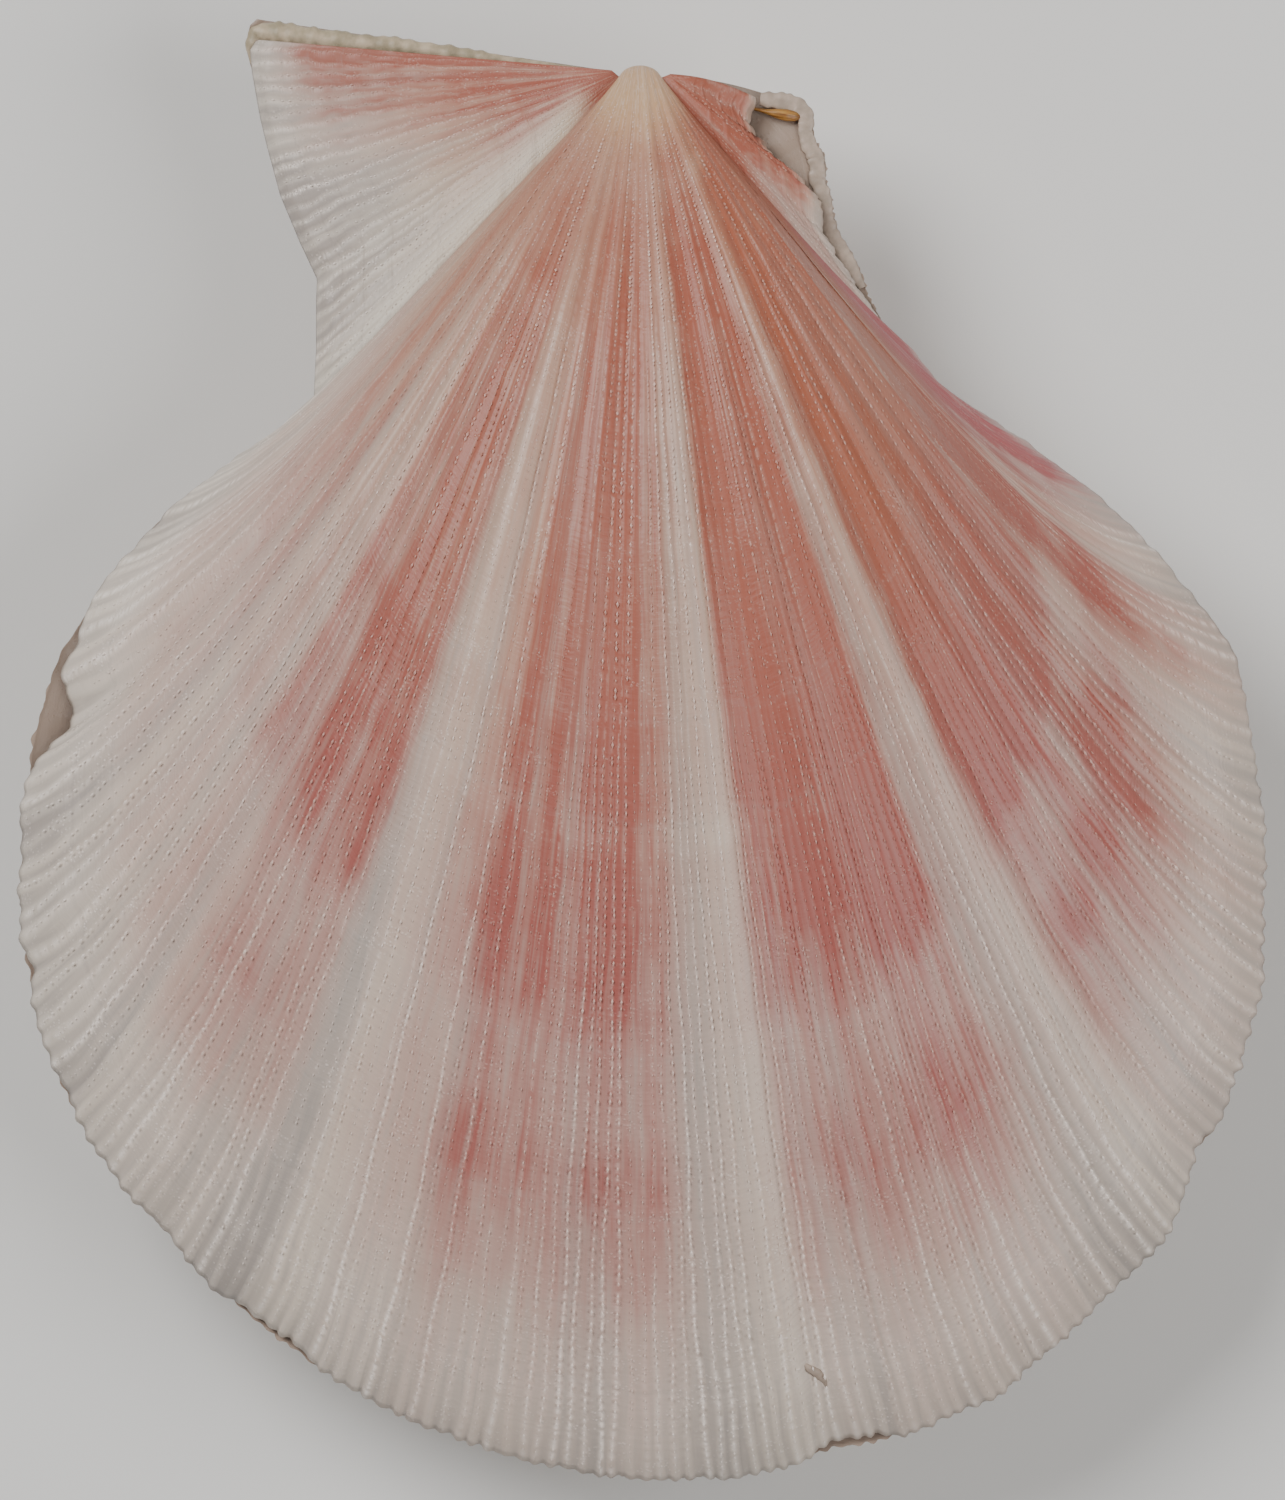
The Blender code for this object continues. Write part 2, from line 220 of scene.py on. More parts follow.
# %% Height of a valve
FOLDS = [
    (-124, 4, 0.25), (-108, 5, 0.25), (-87, 4.5, 0.35), (-77, 4, 0.3), (-66, 4.5, 0.35),
    (-53, 4.5, 0.25), (-39, 6.5, 0.6), (-26, 4, 0.2), (-14, 4.5, 0.3), (13, 7, 0.65),
    (34, 4.5, 0.3), (56, 6.5, 0.6), (69, 3.5, 0.2), (79, 4, 0.3), (91, 3.5, 0.25),
    (100, 5, 0.5), (119, 6, 0.5),
]
UPPER_BULGE, UPPER_CREST = 8.0, 0.72
LOWER_BULGE, LOWER_CREST = 7.6, 1.02
GAP, HINGE_GAP, EDGE, WALL = 0.15, 0.45, 0.9, 1.15
FILLET, FILLET_REACH, AT_WEDGE = 0.9, 1.3, 0.925


def across(a):
    out = np.zeros_like(a)
    for side in (-1, 1):
        wedge, limit = WEDGE[side], LIMIT[side]
        k = (a - wedge) / (limit - wedge)
        here = np.tan(heading_of(np.abs(a))) / np.tan(heading_of(abs(wedge)))
        value = np.where(k > 0, AT_WEDGE + (1 - AT_WEDGE) * np.clip(k, 0, 1), AT_WEDGE * here)
        out = np.where(np.sign(a) == side, value, out)
    return out


def lip(u):
    return 1 - np.exp(-(1 - u) / 0.018)


def fillet(u):
    return FILLET * np.clip(np.sin(np.pi * np.clip(u, 0, 1)), 0, 1) ** 0.8


def folds(a, u):
    total = sum(height * bell(a, place, width) for place, width, height in FOLDS)
    return 1.35 * (0.1 + 0.9 * np.clip(u / 0.35, 0, 1)) * (1 - 0.4 * u) * total


# Painted light: how much the top of each fold is lightened, partly its own cream tone.
def lit_crown_at(a):
    tops = sum(height / 0.6 * bell(a, place, 0.55 * width) for place, width, height in FOLDS)
    return np.clip(tops, 0, 1)


def shade_at(a):
    strong = [fold for fold in FOLDS if fold[2] >= 0.35]
    return sum(height / 0.65 * bell(a, place - 0.75 * width, 0.5 * width)
               for place, width, height in strong)


def disc_height(a, u, bulge, crest, relief=True):
    a, u = np.broadcast_arrays(np.asarray(a, float), np.asarray(u, float))
    arch = np.clip(1 - across(a) ** 2.3, 0, 1) ** 0.72
    rise = bulge * arch * np.clip(np.sin(np.pi * u ** crest), 0, 1) ** 0.9
    z = GAP + EDGE * lip(u) + fillet(u) + rise
    z = z + 0.3 * bell(u, 0.024, 0.016) * bell(a, 0, 75) * relief
    if relief:
        z = z + folds(a, u) * np.clip(2.5 * arch, 0, 1) * lip(u)
    return z


top = float(disc_height(13, 0.4, UPPER_BULGE, UPPER_CREST))
print("top of the upper valve", round(top, 2), "mm")

# %% [markdown]
# ## A place to collect vertices
# A valve is one closed body: the outer face, two ears, the flat rim on which the valves meet
# and the hollow for the animal. Building it from one list of points keeps it in one piece. Each
# point also carries a few painted values, such as its riblet number and its age, which the
# relief and the colours read later.

# %% Skin helper
PAINTS = ("riblet", "growth", "room", "pigment", "warm", "cream", "chalk", "inside",
          "crown", "shade")


class Skin:
    def __init__(self):
        self.points, self.faces, self.count = [], [], 0
        self.paint = {name: [] for name in PAINTS}

    def add(self, xyz, **values):
        xyz = np.asarray(xyz, float)
        flat = xyz.reshape(-1, 3)
        ids = np.arange(self.count, self.count + len(flat)).reshape(xyz.shape[:-1])
        self.points.append(flat)
        for name in PAINTS:
            value = np.broadcast_to(values.get(name, 0.0), xyz.shape[:-1])
            self.paint[name].append(np.ravel(value))
        self.count += len(flat)
        return ids

    def xyz(self):
        return np.concatenate(self.points)

    def quads(self, low, high):
        low, high = list(low), list(high)
        self.faces += [(low[i], low[i + 1], high[i + 1], high[i]) for i in range(len(low) - 1)]

    def between(self, low, high):
        if len(low) == len(high):
            return self.quads(low, high)
        i = j = 0
        while i < len(low) - 1 or j < len(high) - 1:
            if (i + 1) / (len(low) - 1) < (j + 1) / (len(high) - 1) - 1e-9:
                self.faces.append((low[i], low[i + 1], high[j]))
                i += 1
            else:
                self.faces.append((low[i], high[j + 1], high[j]))
                j += 1


def layer_on(mesh, name, values, kind="FLOAT", key="value"):
    layer = mesh.attributes.new(name, kind, "POINT")
    layer.data.foreach_set(key, values.astype(np.float32).ravel())


def closed_mesh(name, points, faces):
    mesh = bpy.data.meshes.new(name)
    mesh.from_pydata(((points - SPOT) * MM).tolist(), [], faces)
    shell = bmesh.new()
    shell.from_mesh(mesh)
    bmesh.ops.recalc_face_normals(shell, faces=shell.faces)
    shell.to_mesh(mesh)
    shell.free()
    mesh.shade_smooth()
    return mesh


def finished_mesh(name, skin, flip=False):
    points = skin.xyz() * [1, 1, -1 if flip else 1]
    mesh = closed_mesh(name, points, [tuple(map(int, f)) for f in skin.faces])
    for paint in PAINTS:
        layer_on(mesh, paint, np.concatenate(skin.paint[paint]))
    return mesh


def placed(name, data):
    piece = bpy.data.objects.new(name, data)
    bpy.context.scene.collection.objects.link(piece)
    return piece


print("painted values:", ", ".join(PAINTS))

# %% [markdown]
# ## Where the pigment lies
# The animal laid down its colour at the growing edge, so a colour is a ray that was switched on
# and off as the shell grew. A faint wash lies over the whole young shell. Each ray then has a
# place on the fan, a half width, and a strength for each season of growth. The seasons are the
# same for all rays, because the whole edge stopped and started together: that makes the pale
# ring and the broken patches outside it. Each riblet runs a little ahead or behind, which gives
# the patches streaky ends. A few marks are added one by one.

# %% Rays of pigment
WASH = [(0.02, 0.42), (0.05, 0.66), (0.1, 0.76), (0.16, 0.73), (0.22, 0.67), (0.3, 0.63),
        (0.44, 0.51), (0.6, 0.42), (0.68, 0.37), (0.71, 0.26), (0.8, 0.26), (0.86, 0.22),
        (0.92, 0.13), (1, 0.06)]
SEASONS = (0.05, 0.14, 0.27, 0.48, 0.66, 0.69, 0.745, 0.768, 0.806, 0.825, 0.875, 0.905, 1.0)
RAYS = [
    # place, half width, strength when young, middle, late, last and at the margin
    (-106, 13, 0.18, 0.2, 0.14, 0.1, 0.03),
    (-93, 2.6, 0.12, 0.24, 0.14, 0.06, 0.0),
    (-81, 3.2, 0.12, 0.16, 0.16, 0.1, 0.02),
    (-71, 3.9, 0.36, 0.42, 0.4, 0.24, 0.05),
    (-62, 4.8, 0.42, 0.5, 0.48, 0.32, 0.05),
    (-54, 4.6, 0.36, 0.46, 0.46, 0.44, 0.1),
    (-47.5, 2.9, 0.36, 0.4, 0.46, 0.3, 0.05),
    (-31, 3.2, 0.14, 0.18, 0.2, 0.14, 0.05),
    (-22.5, 4.8, 0.5, 0.56, 0.56, 0.58, 0.26),
    (-15.5, 2.4, 0.32, 0.42, 0.36, 0.32, 0.1),
    (-5, 10.2, 0.54, 0.6, 0.56, 0.62, 0.26),
    (19.5, 2.2, 0.36, 0.46, 0.42, 0.34, 0.1),
    (27, 6.4, 0.6, 0.84, 0.58, 0.58, 0.24),
    (39.5, 6.4, 0.58, 0.9, 0.78, 0.6, 0.24),
    (47.5, 3.6, 0.28, 0.36, 0.34, 0.28, 0.1),
    (53, 3, 0.18, 0.16, 0.1, 0.06, 0.02),
    (59, 2.4, 0.32, 0.32, 0.24, 0.14, 0.05),
    (64.5, 4.2, 0.68, 0.9, 0.88, 0.66, 0.28),
    (74, 6.4, 0.64, 0.84, 0.78, 0.68, 0.28),
    (86, 6.4, 0.62, 0.84, 0.9, 0.86, 0.44),
    (96, 4.6, 0.58, 0.7, 0.62, 0.46, 0.16),
    (106, 5.4, 0.72, 1.0, 0.88, 0.8, 0.55),
    (112.5, 2.6, 0.66, 0.9, 0.7, 0.6, 0.4),
    (118, 2.4, 0.56, 0.4, 0.66, 0.54, 0.36),
    (123.5, 2.8, 0.7, 0.7, 0.8, 0.7, 0.5),
    (131, 5, 0.8, 0.8, 0.9, 0.95, 1.0),
    (147, 14, 0.85, 0.95, 0.95, 1.0, 1.3),
]
MARKS = [
    # place, growth, half width, half length, change of strength
    (-58, 0.49, 12, 0.02, 0.12), (-70, 0.47, 6, 0.015, 0.1), (-93, 0.48, 3, 0.05, 0.12),
    (-20, 0.475, 30, 0.01, 0.08), (15, 0.54, 45, 0.012, -0.14), (15, 0.245, 50, 0.01, -0.08),
    (32, 0.137, 13, 0.006, 0.3), (-62, 0.62, 12, 0.06, 0.06), (-48, 0.57, 3, 0.05, 0.12),
    (-23, 0.8, 5, 0.03, 0.12), (-56, 0.795, 5, 0.018, 0.14), (-6, 0.8, 3, 0.02, 0.16),
    (25, 0.81, 5, 0.035, 0.12), (41, 0.81, 6, 0.035, 0.14), (67, 0.8, 3, 0.02, 0.2),
    (86, 0.78, 3.5, 0.03, 0.24), (95, 0.8, 3, 0.02, 0.2), (-12, 0.36, 5, 0.05, 0.12),
    (-10, 0.46, 5, 0.02, 0.12), (28, 0.41, 6, 0.04, 0.1), (40, 0.45, 4, 0.05, 0.1),
    (-25, 0.62, 4, 0.05, 0.1), (-4, 0.62, 3, 0.04, 0.12), (62, 0.57, 3, 0.06, 0.08),
    (86, 0.6, 4, 0.06, 0.1), (107, 0.62, 4, 0.06, 0.1), (-78, 0.3, 3, 0.06, -0.1),
    (-40, 0.42, 5, 0.24, -0.1), (12, 0.42, 5, 0.24, -0.05), (52, 0.5, 4, 0.3, -0.04),
    (101, 0.6, 2.5, 0.2, -0.14), (-30, 0.2, 50, 0.008, -0.05), (60, 0.075, 18, 0.012, -0.25),
    (25, 0.06, 14, 0.01, 0.14), (-88, 0.5, 3, 0.3, -0.04), (100, 0.06, 60, 0.05, 0.3),
    (118.5, 0.37, 3.5, 0.05, -0.5),
]


def pigment_at(a, u):
    total = np.interp(u, [w[0] for w in WASH], [w[1] for w in WASH])
    for place, width, young, middle, late, last, margin in RAYS:
        pause = 0.72 * last + 0.06
        stages = (0.05 * young, 0.42 * young, young, middle, late, pause, pause, last, last,
                  0.8 * last, 0.7 * last, margin, 0.5 * margin)
        total = total + np.exp(-np.abs((a - place) / width) ** 3) * np.interp(u, SEASONS, stages)
    for place, age, width, length, change in MARKS:
        total = total + change * bell(a, place, width) * bell(u, age, length)
    return np.clip(total, 0, 1.3)


def streaky(crest, u):
    return u + 0.016 * (way_of(crest)[..., 1] - 0.5) * smooth(0.25, 0.5, u)


def warmth_at(a, u):
    young = 1 - smooth(0.3, 0.72, u)
    brown = young * (0.72 + 0.45 * smooth(40, 75, a)) + 0.3 * smooth(70, 90, a) * smooth(0.5, 0.65, u)
    flank = smooth(116, 136, a) * smooth(0.45, 0.75, u)
    return np.clip(brown, 0, 1) * (1 - flank) - 0.8 * flank


print(len(RAYS), "rays and", len(MARKS), "marks")

# %% [markdown]
# ## Rows from the beak to the margin
# The grid of a valve has one row for each stage of growth. Close to the beak all the riblets
# come together, so those rows use every eighth column, then every fourth and every second. This
# is also how the real riblets behave: few start at the beak, and new ones slip in between them
# as the fan widens. On the two flanks every fourth riblet swells into a rounded cord.

# %% Grid of the disc
PER_RIBLET = 6
CORD = 0.09
SCALLOP = 0.07 / 27
COLUMNS = RIBLETS * PER_RIBLET
NUMBERS = np.arange(COLUMNS + 1) / PER_RIBLET
ROWS = [(u, 8) for u in (0, 0.003, 0.007)]
ROWS += [(u, 4) for u in (0.012, 0.018, 0.025, 0.033, 0.042, 0.052, 0.063, 0.075, 0.088)]
ROWS += [(u, 4) for u in (0.102, 0.117, 0.133, 0.15)]
ROWS += [(u, 2) for u in np.arange(0.17, 0.455, 0.0117)]
ROWS += [(u, 1) for u in np.arange(0.466, 0.931, 0.0117)]
ROWS += [(u, 1) for u in (0.94, 0.949, 0.958, 0.966, 0.974, 0.981, 0.987, 0.992, 0.996, 1)]
ROWS = [(round(float(u), 4), stride) for u, stride in ROWS]


def disc_rows(skin, bulge, crest, upper):
    rows = []
    for u, stride in ROWS:
        number = NUMBERS[::stride]
        a = fan_of(number)
        a[0], a[-1] = LEFT, RIGHT
        near = np.round(number)
        free = np.clip(4 * (1 - across(a)), 0, 1)
        xy = disc_point(a, u, upper)
        crest_number = number - wander(near, u)
        scallop = SCALLOP * np.cos(2 * np.pi * crest_number) * free * u ** 8
        scallop = scallop * (0.5 + WAYS[near.astype(int), 0])
        xy = CENTRE + (xy - CENTRE) * (1 + scallop)[:, None]
        z = disc_height(a, u, bulge, crest)
        flank = smooth(56, 85, np.abs(a)) * smooth(0.18, 0.5, u) * free
        cords = 0.5 + 0.5 * np.cos(np.pi / 2 * crest_number)
        z = z + CORD * cords * flank * lip(u)
        room = free * lip(u) * smooth(0.01, 0.045, u)
        if not upper:
            away = np.hypot(xy[:, 0] - SPOT[0], xy[:, 1] - SPOT[1])
            z = np.where(away < SPOT_RADIUS, -SPOT[2], np.minimum(z, -SPOT[2]))
            room = room * smooth(SPOT_RADIUS, SPOT_BLEND, away)
        # Painted light on the crests of the folds and flank cords, painted shade beside the strong folds
        # and between the cords.
        rows.append(skin.add(
            np.column_stack([xy, z]), riblet=crest_number, growth=u, room=room,
            pigment=pigment_at(a, streaky(near, u)), warm=warmth_at(a, u),
            crown=lit_crown_at(a) * smooth(0.1, 0.3, u) + 0.4 * flank * cords,
            shade=shade_at(a) * smooth(0.12, 0.4, u) + 0.55 * flank * (1 - cords),
            cream=1 - smooth(0.025, 0.075, u),
            chalk=smooth(0.82, 0.97, u) * (0.45 + 0.4 * smooth(-40, -80, a))))
    for low, high in zip(rows, rows[1:]):
        skin.between(low, high)
    return rows


print(len(ROWS), "rows of", COLUMNS, "columns")

# %% [markdown]
# ## The ears
# A scallop has an ear on each side of the beak, and the hinge runs along their straight back
# edges. Each ear is a fan of rays from the beak to its own outline, sewn to the edge of the
# disc. The front ear is long, and the upper rear ear is broken off short, so its outline is the
# line of the break. The outlines are lists of corners in millimetres.

# %% Outlines of the ears
FRONT_START, REAR_START = np.array([-1.25, 0.58]), np.array([1.35, 0.42])
UPPER_FRONT = [
    (-14.29, -11.78), (-14.29, -9.66), (-14.25, -8.6), (-15.0, -7.01), (-15.88, -4.9),
    (-16.45, -2.78), (-16.76, -1.5), (-17.12, 0.53), (-17.2, 1.5), (-16.94, 1.94),
]
UPPER_REAR = [
    (9.79, -9.18), (9.3, -8.5), (8.6, -7.41), (8.1, -6.6), (8.03, -5.7), (7.9, -5.03),
    (7.32, -4.5), (7.2, -4.2), (6.44, -3.75), (5.85, -3.25), (5.52, -2.7), (5.15, -2.45),
    (5.03, -2.03), (4.85, -1.6), (4.9, -1.24), (5.12, -0.95), (5.12, -0.62),
]
LOWER_FRONT = [
    (-9.7, -6.7), (-11.25, -6.09), (-12.79, -5.78), (-14.56, -5.56), (-15.66, -4.9),
    (-16.1, -2.91), (-16.76, -1.5), (-17.1, 0.53), (-17.42, 1.72), (-17.2, 2.6), (-16.9, 2.87),
]
LOWER_REAR = [
    (10.15, -9.31), (9.62, -7.98), (8.73, -6.53), (8.56, -5.87), (8.51, -5.12), (8.16, -4.15),
    (8.29, -3.75), (8.12, -3.18), (7.81, -2.69), (7.63, -1.99), (7.68, -1.59), (7.37, -1.24),
    (6.97, -0.93),
]


def way_along(line):
    return np.concatenate([[0], np.cumsum(np.linalg.norm(np.diff(line, axis=0), axis=1))])


def read_along(at, way, table):
    return np.column_stack([np.interp(at, way, column) for column in table.T])


def spaced(points, n):
    way = way_along(points)
    return read_along(np.linspace(0, way[-1], n), way, points)


print("hinge of the front ear", round(float(np.hypot(16.94 - 1.85, 1.94 - 0.66)), 1), "mm")

# %% [markdown]
# ## Sewing an ear to the disc
# The first column of an ear is the edge column of the disc itself, so there is no gap between
# them. The steep side of the disc meets the flat ear in a rounded fillet. Soft waves cross the
# ear where growth paused, and the ear has riblets of its own that run out from the beak.

# %% Ear grid
FRONT_COLUMNS, REAR_COLUMNS = 160, 72
FRONT_RIBLET, REAR_RIBLET = 200, 300
EAR_WAVE, EAR_WAVE_LENGTH = 0.035, 1.35
RAGGED = np.random.default_rng(11).normal(0, 0.055, (80, 2))


def ear_rows(skin, disc, side, outline, start, n_columns, first_riblet, reach_u, upper):
    root = disc_edge(side, 0.0, upper)
    far = disc_edge(side, 1.0, upper)
    along = (far - root) / np.hypot(*(far - root))
    normal = np.array([along[1], -along[0]])
    joined = [r for r, (u, stride) in enumerate(ROWS) if u <= reach_u]
    reach = ROWS[joined[-1]][0]
    tip = disc_edge(side, reach, upper)
    rim = spaced(np.vstack([tip, outline]), n_columns + 1)
    w = np.arange(n_columns + 1) / n_columns
    ragged = RAGGED[np.arange(len(w)) % len(RAGGED)]
    ragged = ragged * (smooth(0, 0.1, w) * smooth(0, 0.06, 1 - w))[:, None]
    base = root + (start - root) * w[:, None]
    rows = []
    for r in joined:
        u, stride = ROWS[r]
        keep = np.arange(stride, n_columns + 1, stride)
        t = u / reach
        number = first_riblet + w[keep] * n_columns / PER_RIBLET
        near = np.round(number)
        xy = base[keep] + (rim[keep] - base[keep]) * t
        if side > 0:
            xy = xy + ragged[keep] * t ** 8
            xy[:, 1] += 0.22 * w[keep] ** 6 * np.sin(np.pi * t)
        away = np.abs((xy - root) @ normal)
        length = np.hypot(*(rim[keep] - base[keep]).T)
        turns = length * t / EAR_WAVE_LENGTH + 0.25 * np.sin(7 * w[keep]) + 0.1 * side
        z = GAP + EDGE * lip(t) + fillet(u) * bell(away, 0, FILLET_REACH)
        z = z + EAR_WAVE * np.sin(2 * np.pi * turns) * smooth(0.25, 0.8, t) * lip(t) * smooth(0, 2, away)
        room = lip(t) * smooth(0.05, 0.2, t) * smooth(0, 0.05, w[keep]) * smooth(0, 0.04, 1 - w[keep])
        paint = front_paint(w[keep], t, away, xy) if side < 0 else rear_paint(w[keep], t)
        ids = skin.add(np.column_stack([xy, z]), riblet=number - wander(near, u),
                       growth=0.25 + 0.75 * t, room=room, **paint)
        edge_id = disc[r][0] if side < 0 else disc[r][-1]
        rows.append(np.concatenate([[edge_id], ids]))
    for low, high in zip(rows, rows[1:]):
        skin.between(low, high)
    return rows


def front_paint(w, t, away, xy):
    x, y = xy[:, 0], xy[:, 1]
    pink = 0.88 * smooth(-6.0, 1.4, y) * (1 - smooth(0.8, 1.0, t)) + 0.14 * smooth(-12, -3, x) + 0.1
    # The band beside the disc's edge loses its pink and gets a painted highlight, as it faces the light.
    pink = np.clip(pink, 0, 1) * (1 - (1 - smooth(0.3, 1.6, away)) * smooth(0.06, 0.2, t))
    # Painted ear ribs with painted light on them and painted shade between them.
    ribs = 0.5 + 0.5 * np.sin(w * 62 + 1)
    shade = 0.2 * (1 - ribs) * smooth(1.2, 2.5, away) * smooth(0.2, 0.5, t)
    shade = shade + 0.45 * smooth(0.5, 0.8, t) * smooth(2, 4, away)
    shade = shade + 0.35 * smooth(-10, -14.5, x) * smooth(-2, -6, y)
    return dict(pigment=pink * (1.15 - 0.3 * ribs), warm=0.6, shade=shade,
                cream=0.3 * bell(t, 0.1, 0.1), chalk=np.clip(0.25 + smooth(0.45, 0.95, t), 0, 1),
                crown=0.9 * bell(away, 0.9, 0.9) * smooth(0.1, 0.3, t) + 0.2 * ribs)


def rear_paint(w, t):
    broken = smooth(0.86, 1.0, t)
    bare = (1 - smooth(0.3, 0.62, w)) * smooth(0.3, 0.7, t)
    pigment = np.clip(1.12 - 0.75 * broken - 0.62 * bare, 0.28, 1.2)
    return dict(pigment=pigment, warm=0.8 - 0.6 * bare, cream=0.0, chalk=0.5 * broken + 0.4 * bare)


print("ears have", FRONT_COLUMNS // PER_RIBLET, "and", REAR_COLUMNS // PER_RIBLET, "riblets")

# %% [markdown]
# ## Closing the body
# The rim of the outer face drops to the plane where the valves meet. Inside that rim lies the
# flat face, and inside the flat face the hollow, whose roof follows the outer face at the
# thickness of the wall. The flat face has an irregular outline and a hole, which a constrained
# Delaunay triangulation fills without any other work.

# %% Flat face and hollow
HOLLOW_ROWS, HOLLOW_COLUMNS = 25, 61
HOLLOW_ANGLES, HOLLOW_AGES = (104, 102), (0.065, 0.952)


def inside_loop(points, loop):
    hit = np.zeros(len(points), bool)
    x, y = points[:, 0], points[:, 1]
    for (x1, y1), (x2, y2) in zip(loop, np.roll(loop, -1, axis=0)):
        if y1 != y2:
            hit ^= ((y1 > y) != (y2 > y)) & (x < x1 + (y - y1) * (x2 - x1) / (y2 - y1))
    return hit


def close_body(skin, outer, hinge, bulge, crest, upper):
    loop = list(outer) + list(hinge)
    levels = np.array([GAP] * len(outer) + [HINGE_GAP] * len(hinge))
    xyz = skin.xyz()[loop]
    lowered = skin.add(np.column_stack([xyz[:, :2], levels]), inside=1.0, growth=1.0)
    skin.quads(loop + loop[:1], list(lowered) + [lowered[0]])

    rows = []
    for v in np.linspace(0, 1, HOLLOW_ROWS):
        s = np.linspace(-1, 1, HOLLOW_COLUMNS)
        a = s * np.where(s < 0, *HOLLOW_ANGLES)
        u = HOLLOW_AGES[0] + (HOLLOW_AGES[1] - HOLLOW_AGES[0]) * v
        z = np.maximum(GAP + 0.1, disc_height(a, u, bulge, crest, relief=False) - WALL)
        z[[0, -1]] = GAP
        z = z if 0 < v < 1 else np.full_like(z, GAP)
        rows.append(skin.add(np.column_stack([disc_point(a, u, upper), z]), inside=1.0))
    for low, high in zip(rows, rows[1:]):
        skin.quads(low, high)
    mouth = list(rows[-1]) + [r[-1] for r in rows[-2:0:-1]] + list(rows[0][::-1])
    mouth += [r[0] for r in rows[1:-1]]

    flat = np.concatenate([lowered, mouth])
    plan = skin.xyz()[flat][:, :2]
    n, m = len(lowered), len(mouth)
    edges = [(k, (k + 1) % n) for k in range(n)] + [(n + k, n + (k + 1) % m) for k in range(m)]
    found = delaunay_2d_cdt([Vector(p) for p in plan], edges, [], 1, 1e-6)
    triangles = np.array([[found[3][k][0] for k in tri] for tri in found[2]])
    middle = plan[triangles].mean(1)
    keep = inside_loop(middle, plan[:n]) & ~inside_loop(middle, plan[n:])
    skin.faces += [tuple(flat[list(tri)]) for tri in triangles[keep]]


def valve_skin(bulge, crest, front, rear, notch_u, upper):
    skin = Skin()
    disc = disc_rows(skin, bulge, crest, upper)
    fore = ear_rows(skin, disc, -1, front, FRONT_START, FRONT_COLUMNS, FRONT_RIBLET, notch_u, upper)
    aft = ear_rows(skin, disc, 1, rear, REAR_START, REAR_COLUMNS, REAR_RIBLET, 1.0, upper)
    outer = list(fore[-1][::-1]) + [row[0] for row in disc[len(fore):-1]]
    outer += list(disc[-1][1:]) if len(fore) == len(disc) else list(disc[-1])
    outer += list(aft[-1][1:])
    hinge = [row[-1] for row in aft[-2::-1]] + list(aft[0][-2:0:-1])
    hinge += list(disc[0][::-1]) + list(fore[0][1:-1]) + [row[-1] for row in fore[:-1]]
    close_body(skin, outer, hinge, bulge, crest, upper)
    return skin, disc, fore, aft


upper_skin, upper_disc, upper_fore, upper_aft = valve_skin(
    UPPER_BULGE, UPPER_CREST, UPPER_FRONT, UPPER_REAR, 1.0, True)
print("upper valve:", upper_skin.count, "points,", len(upper_skin.faces), "faces")

# %% [markdown]
# ## Wires that do arithmetic
# Node trees are long to write by hand. A small class wraps one socket and gives it the usual
# operators, so that a formula on sockets reads like a formula, and the same class serves the
# geometry trees and the material trees.

# %% Wire and Bench


class Wire:
    def __init__(self, tree, socket):
        self.tree, self.socket = tree, socket

    def math(self, operation, *others):
        return Bench(self.tree).math(operation, self, *others)

    def __add__(self, other): return self.math("ADD", other)
    def __radd__(self, other): return self.math("ADD", other)
    def __sub__(self, other): return self.math("SUBTRACT", other)
    def __rsub__(self, other): return Bench(self.tree).math("SUBTRACT", other, self)
    def __mul__(self, other): return self.math("MULTIPLY", other)
    def __rmul__(self, other): return self.math("MULTIPLY", other)
    def __truediv__(self, other): return self.math("DIVIDE", other)
    def __pow__(self, other): return self.math("POWER", other)

    def round(self): return self.math("ROUND")
    def exp(self): return self.math("EXPONENT")
    def abs(self): return self.math("ABSOLUTE")
    def most(self, other): return self.math("MAXIMUM", other)
    def clamp(self): return self.math("MINIMUM", 1.0).math("MAXIMUM", 0.0)
    def bell(self, width): return (0.0 - (self / width) ** 2.0).exp()

    def smooth(self, low, high, to_low=0.0, to_high=1.0):
        return Bench(self.tree).node(
            "ShaderNodeMapRange", {"interpolation_type": "SMOOTHSTEP"},
            {"Value": self, "From Min": low, "From Max": high, "To Min": to_low, "To Max": to_high})

    def out(self, name):
        found = [s for s in self.socket.node.outputs if s.name == name and s.enabled]
        return Wire(self.tree, found[0])


class Bench:
    def __init__(self, tree):
        self.tree = tree

    def plug(self, socket, value):
        if isinstance(value, Wire):
            self.tree.links.new(value.socket, socket)
        elif socket.type == "RGBA" and len(value) == 3:
            socket.default_value = (*value, 1.0)
        else:
            socket.default_value = value

    def math(self, operation, *values):
        made = self.tree.nodes.new("ShaderNodeMath")
        made.operation = operation
        for socket, value in zip(made.inputs, values):
            self.plug(socket, value)
        return Wire(self.tree, made.outputs[0])

    def node(self, kind, settings=None, sockets=None):
        made = self.tree.nodes.new(kind)
        for key, value in (settings or {}).items():
            setattr(made, key, value)
        for key, value in (sockets or {}).items():
            named = [s for s in made.inputs if s.name == key and s.enabled]
            self.plug(made.inputs[key] if isinstance(key, int) else named[0], value)
        return Wire(self.tree, [s for s in made.outputs if s.enabled][0])

    def scaled(self, way, size):
        return self.node("ShaderNodeVectorMath", {"operation": "SCALE"}, {0: way, "Scale": size})

    def vector(self, x, y, z=0.0):
        return self.node("ShaderNodeCombineXYZ", None, {"X": x, "Y": y, "Z": z})

    def mix(self, factor, low, high):
        return self.node("ShaderNodeMix", {"data_type": "RGBA"},
                         {"Factor": factor, "A": low, "B": high})


